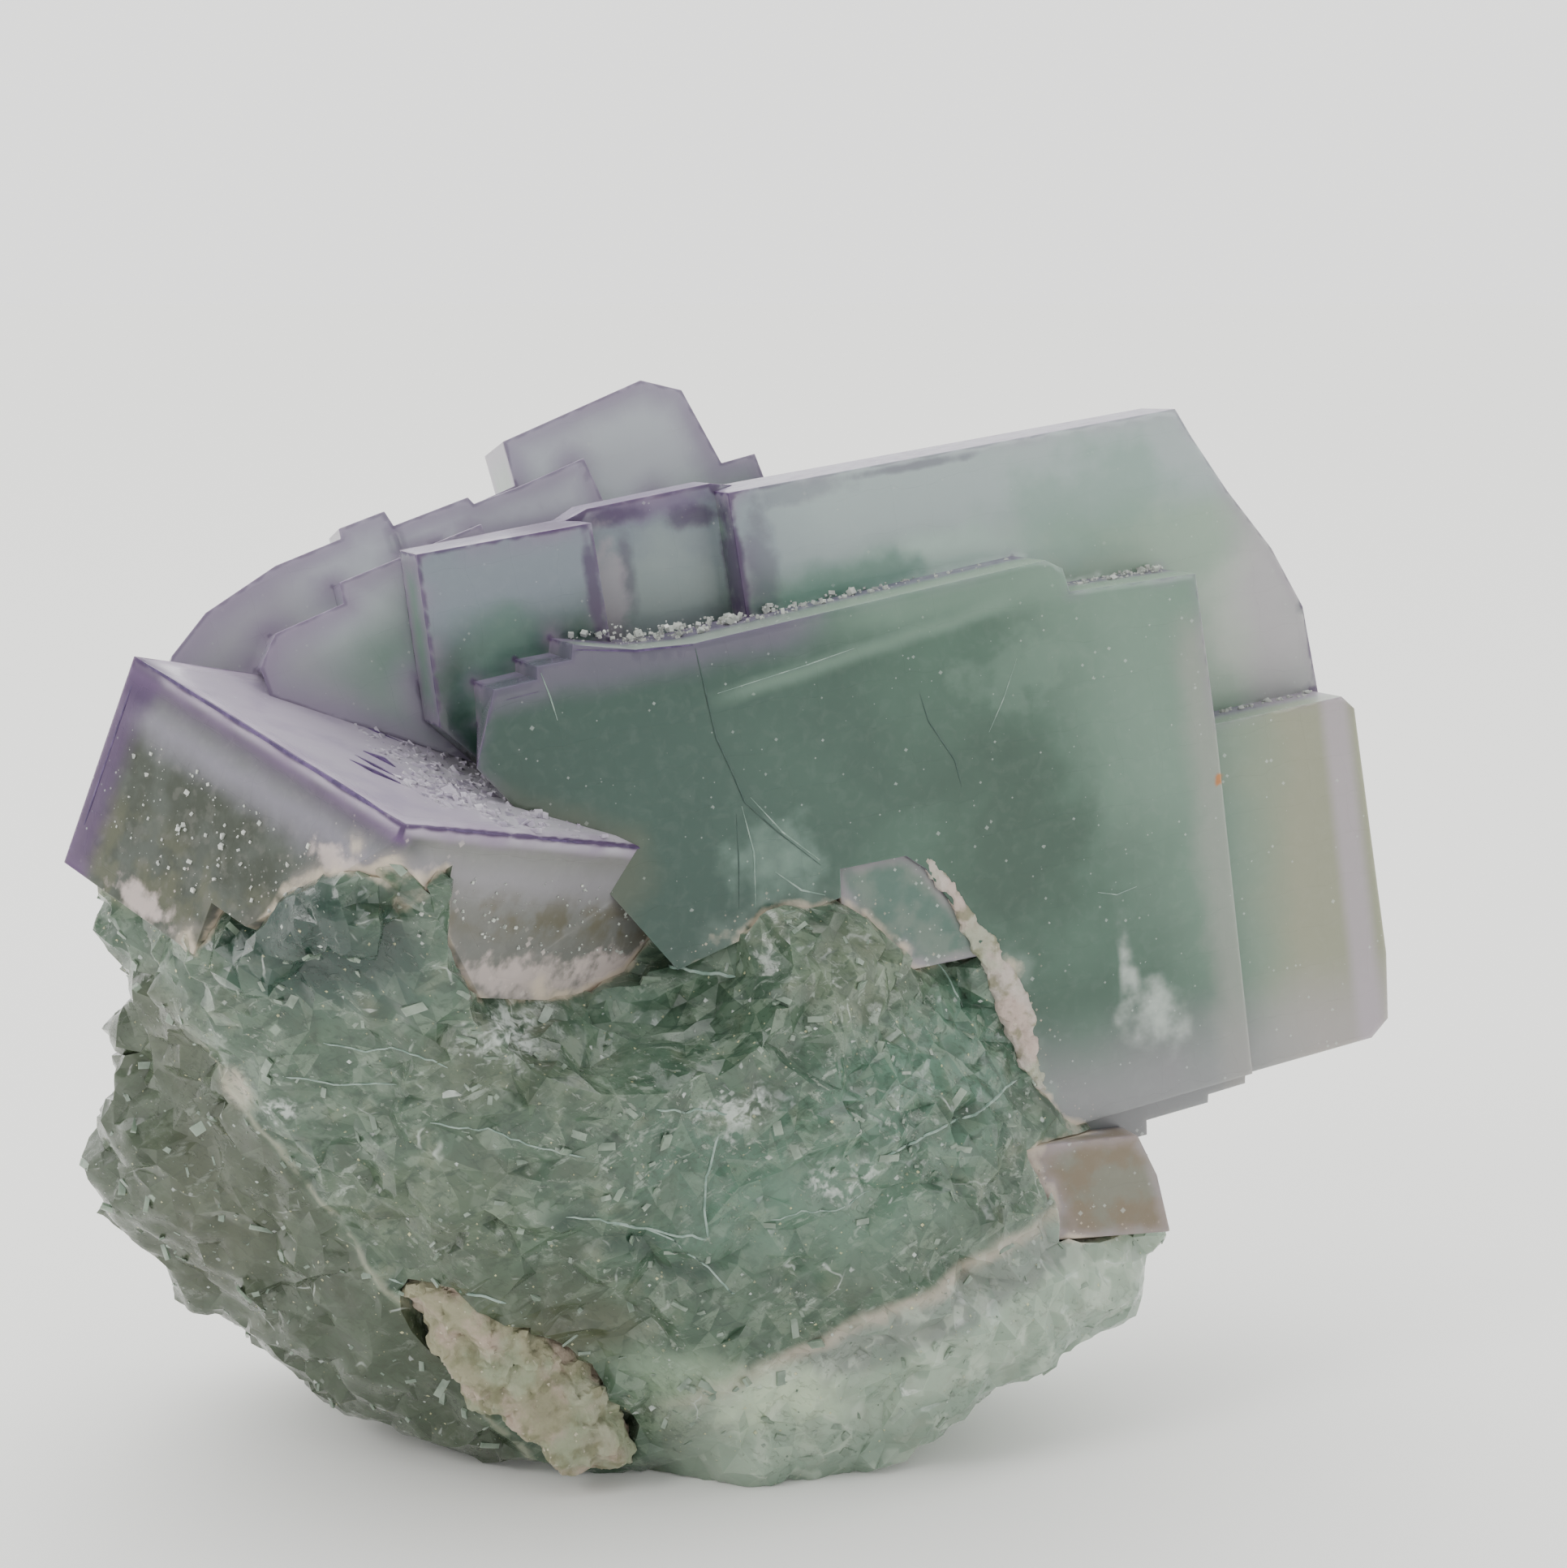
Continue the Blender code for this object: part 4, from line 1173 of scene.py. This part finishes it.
main = crystal_piece("main_crystal", "main_crystal_plates", main_crystal_material(), base_tree,
                     change=reach_to_the_left)
left_tree = surface_tree(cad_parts["left_crystal"].data)
store(main.data, "left_mm", distance_to(left_tree, [main.matrix_world @ v.co for v in main.data.vertices]))
hang_on_root(main, "main_crystal", "main_crystal")
left = crystal_piece("left_crystal", "left_crystal_cube", left_crystal_material(), base_tree, 0.1 * MM,
                     reach_under_neighbours)
hang_on_root(left, "left_crystal", "left_crystal")
rear = crystal_piece("rear_crystal", "rear_crystal_steps", rear_crystal_material(), base_tree, 0.3 * MM)
hang_on_root(rear, "rear_crystal", "rear_crystal")
inset = crystal_piece("inset_crystal", "inset_cube",
                      small_crystal_material("inset_fluorite", (78, 104, 94), 0.3), base_tree)
hang_on_root(inset, "inset_crystal", "inset_crystal")
lower = crystal_piece("lower_crystal", "lower_cube",
                      small_crystal_material("lower_fluorite", (118, 106, 88), 0.2), base_tree, 0.3 * MM)
hang_on_root(lower, "lower_crystal", "lower_crystal")
crust = crust_piece()
hang_on_root(crust, "pale_crust", "pale_crust")

pale_growth = pale_growth_material("sparkling_growth", (196, 200, 190), (160, 166, 160))
etched_growth = pale_growth_material("etched_growth", (176, 170, 182), (146, 136, 156))
flake_growth = pale_growth_material("cleavage_flakes", (132, 148, 132), (104, 122, 106))
dark_purple = line_material("dark_purple_growth", (62, 46, 84), (90, 70, 112))
LEDGE_SPOTS = [((-14.0, 11.9, -4.9), (12.0, 12.7, -2.8), 620, 0.06, 0.34),
               ((12.9, 10.3, -4.9), (21.0, 10.6, -2.8), 240, 0.06, 0.3),
               ((21.2, 0.7, -4.9), (30.6, 0.8, -3.4), 90, 0.08, 0.35),
               ((-17.4, 11.6, -4.8), (-10.5, 13.3, -3.4), 60, 0.08, 0.3)]
ledge_growth = crumbs("ledge_growth", main_axes, LEDGE_SPOTS, pale_growth, 7)
hang_on_root(ledge_growth, "main_crystal")
ETCHED_SPOTS = [((-16.5, 10.0, 0.1), (-11.0, 15.5, 0.2), 160, 0.06, 0.4),
                ((-12.5, 8.0, 0.1), (-6.5, 17.5, 0.2), 560, 0.06, 0.5),
                ((-8.0, 5.5, 0.1), (-3.0, 17.5, 0.2), 760, 0.06, 0.5),
                ((-6.0, 8.0, 0.1), (-2.0, 17.5, 0.2), 420, 0.16, 0.7),
                ((-3.6, 8.0, 0.1), (-0.6, 19.0, 0.2), 520, 0.18, 0.7)]
etched = crumbs("etched_top", left_axes, ETCHED_SPOTS, etched_growth, 8,
                (1.8, 0.8, 0.4))
hang_on_root(etched, "left_crystal")
SIDE_SPOTS = [((-22.0, -0.2, -9.5), (-5.0, -0.16, -3.5), 150, 0.04, 0.24),
              ((0.16, 3.0, -6.5), (0.2, 22.0, -2.2), 160, 0.04, 0.24)]
EDGE_SPOTS = [((-23.45, 0.5, -12.0), (-23.2, 1.3, -0.6), 90, 0.3, 0.8)]
edge_bumps = crumbs("edge_bumps", left_axes, EDGE_SPOTS, dark_purple, 15)
hang_on_root(edge_bumps, "left_crystal")
side_grains = crumbs("side_grains", left_axes, SIDE_SPOTS, pale_growth, 9)
hang_on_root(side_grains, "left_crystal")

DASHES = [(0.24, [(-19.0, 13.6, 0.15), (-17.2, 14.4, 0.17), (-15.6, 14.5, 0.17), (-13.4, 15.6, 0.15)]),
          (0.2, [(-17.6, 12.4, 0.15), (-16.4, 12.7, 0.17), (-15.6, 12.9, 0.15)]),
          (0.18, [(-16.9, 11.0, 0.15), (-15.3, 11.4, 0.16), (-13.8, 12.4, 0.15)]),
          (0.26, [(-11.4, 7.0, 0.15), (-10.2, 7.4, 0.17), (-9.2, 7.5, 0.15)]),
          (0.22, [(-9.6, 4.4, 0.15), (-7.8, 4.7, 0.17), (-6.2, 5.6, 0.15)]),
          (0.16, [(-10.6, 5.6, 0.15), (-8.9, 5.7, 0.17), (-7.4, 6.2, 0.15)]),
          (0.18, [(-12.0, 17.6, 0.15), (-10.0, 17.9, 0.17), (-7.8, 17.4, 0.15)])]
RIDGES = [(0.14, [(-23.0, -0.14, 0.14), (-20.5, -0.16, 0.15), (-17.8, -0.13, 0.13), (-15.0, -0.16, 0.15),
                  (-11.6, -0.14, 0.14), (-8.8, -0.16, 0.13), (-5.6, -0.13, 0.15),
                  (-3.0, -0.15, 0.14), (-1.4, -0.14, 0.14)]),
          (0.10, [(-23.15, -0.12,
                   0.1), (-23.17, -0.14, -2.6), (-23.15, -0.12, -5.0), (-23.16, -0.14, -8.6),
                  (-23.15, -0.12, -11.6)]),
          (0.07, [(0.14, 1.0, 0.14), (0.13, 4.4, 0.15), (0.14, 8.2, 0.14)]),
          (0.09, [(0.14, 9.6, 0.14), (0.15, 12.0, 0.13), (0.14, 14.2, 0.14)]),
          (0.06, [(0.14, 15.6, 0.14), (0.13, 18.0, 0.14), (0.14, 22.0, 0.14)])]
dashes = hairlines("purple_dashes", left_axes, DASHES + RIDGES, dark_purple)
hang_on_root(dashes, "left_crystal")

CRACK = [(0.06, [(-10.5, 11.7), (-10.3, 9.0), (-10.1, 6.4), (-9.4, 4.0),
                 (-9.0, 2.4), (-7.4, 0.4), (-5.0, -2.2)]),
         (0.04, [(-9.6, 1.8), (-9.9, -1.0), (-10.3, -3.6)]),
         (0.04, [(2.6, 6.6), (2.9, 4.8), (4.2, 2.2), (4.4, 0.6)])]
crack_green = line_material("dark_green_crack", (36, 58, 52), (52, 76, 66))
crack = hairlines("dark_crack", main_axes, on_face(CRACK, 0.18), crack_green)
hang_on_root(crack, "main_crystal")
MAIN_DARK = [(0.10, [(-17.4, 12.9), (-14.0, 12.2), (-10.6, 11.9)]),
             (0.06, [(-21.8, 10.9), (-19.9, 11.0)])]
main_dark = hairlines("dark_ledge_line", main_axes, on_face(MAIN_DARK, 0.17), dark_purple)
hang_on_root(main_dark, "main_crystal")
RIM_LINE = [(1.6, -3.4, 0.25), (2.6, -5.0, 0.35), (3.7, -7.4, 0.5), (4.6, -9.6, 0.7), (5.3, -11.4, 0.95),
            (5.9, -13.4,
             0.95), (6.3, -16.0, 0.8), (6.6, -18.4, 0.6), (6.9, -20.4, 0.45), (7.1, -21.6, 0.3)]
rim_crust = crusted_rim("cream_rim", main_axes, RIM_LINE,
                        crust_material("rim_crust", True))
hang_on_root(rim_crust, "main_crystal")
veil = line_material("pale_veils", (150, 172, 160), (104, 134, 120))
MAIN_PALE = [(0.05, [(-9.6, 8.9), (-4.0, 9.5), (-1.0, 9.9)]),
             (0.06, [(-9.2, 2.2), (-8.9, -0.6), (-9.3, -3.8)]),
             (0.06, [(-8.6, 2.6), (-7.0, 0.2), (-5.0, -1.9)]),
             (0.08, [(-7.8, -2.0), (-6.4, -3.4), (-5.0, -4.0)]),
             (0.06, [(-19.6, 12.0), (-19.3, 10.6), (-19.1, 9.2)]),
             (0.05, [(12.2, -7.6), (13.4, -8.0), (14.8, -7.8)]),
             (0.04, [(6.6, 3.4), (7.8, 5.2), (9.0, 7.4)])]
main_pale = hairlines("pale_veins", main_axes, on_face(MAIN_PALE, 0.17), veil)
hang_on_root(main_pale, "main_crystal")

flakes = flecks("cleavage_flakes", base, 1500, flake_growth, 5, (0.08, 0.7))
hang_on_root(flakes, "fractured_base")


def on_base(x, z):
    """The point of the base's front that lies at X and Z (mm)."""
    hit = base_tree.ray_cast(Vector((x, -100.0, z)) * MM, Vector((0, 1, 0)))[0]
    return None if hit is None else hit / MM


BASE_VEINS = [(0.12, [(-5.3, 31.4), (-4.2, 31.4), (-2.8, 31.0), (-1.4, 30.8)]),
              (0.09, [(-8.2, 18.3), (-6.4, 17.7), (-4.6, 17.3), (-3.0, 17.0)]),
              (0.09, [(-2.9, 17.0), (-3.1, 18.6), (-3.0, 20.4), (-2.3, 22.8)]),
              (0.08, [(-5.7, 25.0), (-4.2, 24.6), (-3.0, 24.5), (-1.8, 24.0)]),
              (0.07, [(-10.8, 18.8), (-8.0, 18.4), (-4.8, 16.9), (-2.5, 14.6), (-1.4, 13.3)]),
              (0.10, [(-21.4, 13.6), (-19.0, 13.2), (-16.2, 13.4), (-14.5, 12.8)]),
              (0.10, [(7.0, 20.8), (9.0, 21.4), (12.6, 22.3), (15.6, 23.2)]),
              (0.06, [(-24.0, 29.0), (-21.6, 28.6), (-19.4, 29.0), (-17.0, 28.0)]),
              (0.06, [(-26.4, 27.0), (-23.6, 26.4), (-20.0, 26.6)]),
              (0.06, [(-18.2, 24.4), (-15.0, 24.0), (-12.4, 23.2), (-9.6, 22.4)]),
              (0.07, [(8.6, 33.0), (9.6, 31.2), (11.0, 29.6), (12.2, 27.4)]),
              (0.05, [(0.6, 17.4), (2.4, 18.0), (4.0, 17.6), (6.4, 18.6)])]


def base_veins():
    """Pale fracture lines that lie on the base's broken front."""
    lines = []
    for thickness, route in BASE_VEINS:
        corners = [Vector(point) for point in route]
        steps = stepped(corners) + corners[-1:]
        spots = [on_base(step.x, step.y + 0.25 * noise.noise(Vector((step.x, step.y, thickness)) * 1.4))
                 for step in steps]
        lines.append((thickness, [spot for spot in spots if spot is not None]))
    return hairlines("base_veins", Matrix.Identity(4), lines, veil)


veins = base_veins()
hang_on_root(veins, "fractured_base")


# ---------------------------------------------------------------- floor, light and camera

def floor_piece():
    """A wide pale floor."""
    shape = bmesh.new()
    bmesh.ops.create_grid(shape, x_segments=8, y_segments=8, size=6.0)
    material = bpy.data.materials.new("pale_floor")
    material.use_nodes = True
    shader = material.node_tree.nodes["Principled BSDF"]
    shader.inputs["Base Color"].default_value = linear(240, 240, 237)
    shader.inputs["Roughness"].default_value = 0.95
    shader.inputs["Specular IOR Level"].default_value = 0.1
    shader.inputs["Emission Color"].default_value = (1.0, 1.0, 0.985, 1.0)
    shader.inputs["Emission Strength"].default_value = 0.06
    floor = new_piece("floor", shape, Matrix.Identity(4), material, 60.0)


def soft_light(name, place, size, power, target, tint=(1.0, 1.0, 1.0)):
    light = bpy.data.lights.new(name, "AREA")
    light.shape = "DISK"
    light.size = size
    light.energy = power
    light.color = tint
    lamp = bpy.data.objects.new(name, light)
    lamp.location = place
    lamp.rotation_euler = (Vector(target) - Vector(place)).to_track_quat("-Z", "Y").to_euler()
    bpy.context.scene.collection.objects.link(lamp)


def studio_world():
    """Soft light from all round: bright behind the specimen, dimmer in front of it."""
    world = bpy.data.worlds.new("studio")
    world.use_nodes = True
    tree = world.node_tree
    way = put(tree, "SeparateXYZ", {0: put(tree, "TexCoord").outputs["Generated"]})
    strength = put(tree, "MapRange", {0: way.outputs["Y"], 1: -0.5, 2: 0.7, 3: 0.75, 4: 1.85})
    sky = tree.nodes["Background"]
    sky.inputs["Color"].default_value = (1.0, 1.0, 0.985, 1.0)
    tree.links.new(strength.outputs[0], sky.inputs["Strength"])
    bpy.context.scene.world = world


def light_and_camera():
    low, high = CAD_BOX
    centre = (Vector(low) + Vector(high)) / 2
    aim = centre + Vector((1.4, 3.9, 7.8)) * MM
    distance = 180.0 * MM
    rise = math.radians(10.0)
    camera = bpy.data.cameras.new("camera")
    camera.lens = 67.1
    camera.clip_start = 0.005
    holder = bpy.data.objects.new("camera", camera)
    holder.location = aim + distance * Vector((0.0, -math.cos(rise), math.sin(rise)))
    holder.rotation_euler = (math.pi / 2 - rise, 0.0, 0.0)
    bpy.context.scene.collection.objects.link(holder)
    bpy.context.scene.camera = holder
    sky_light = bpy.data.lights.new("sky_light", "SUN")
    sky_light.energy = 2.85
    sky_light.angle = math.radians(100.0)
    overhead = bpy.data.objects.new("sky_light", sky_light)
    overhead.rotation_euler = (math.radians(-28.0), math.radians(-12.0), 0.0)
    bpy.context.scene.collection.objects.link(overhead)
    soft_light("window", (-0.45, -0.35, 0.45), 0.25, 1.2, centre, (1.0, 0.99, 0.97))
    soft_light("fill", (0.5, -0.4, 0.2), 0.2, 0.5, centre, (0.97, 0.98, 1.0))
    studio_world()


floor_piece()
light_and_camera()
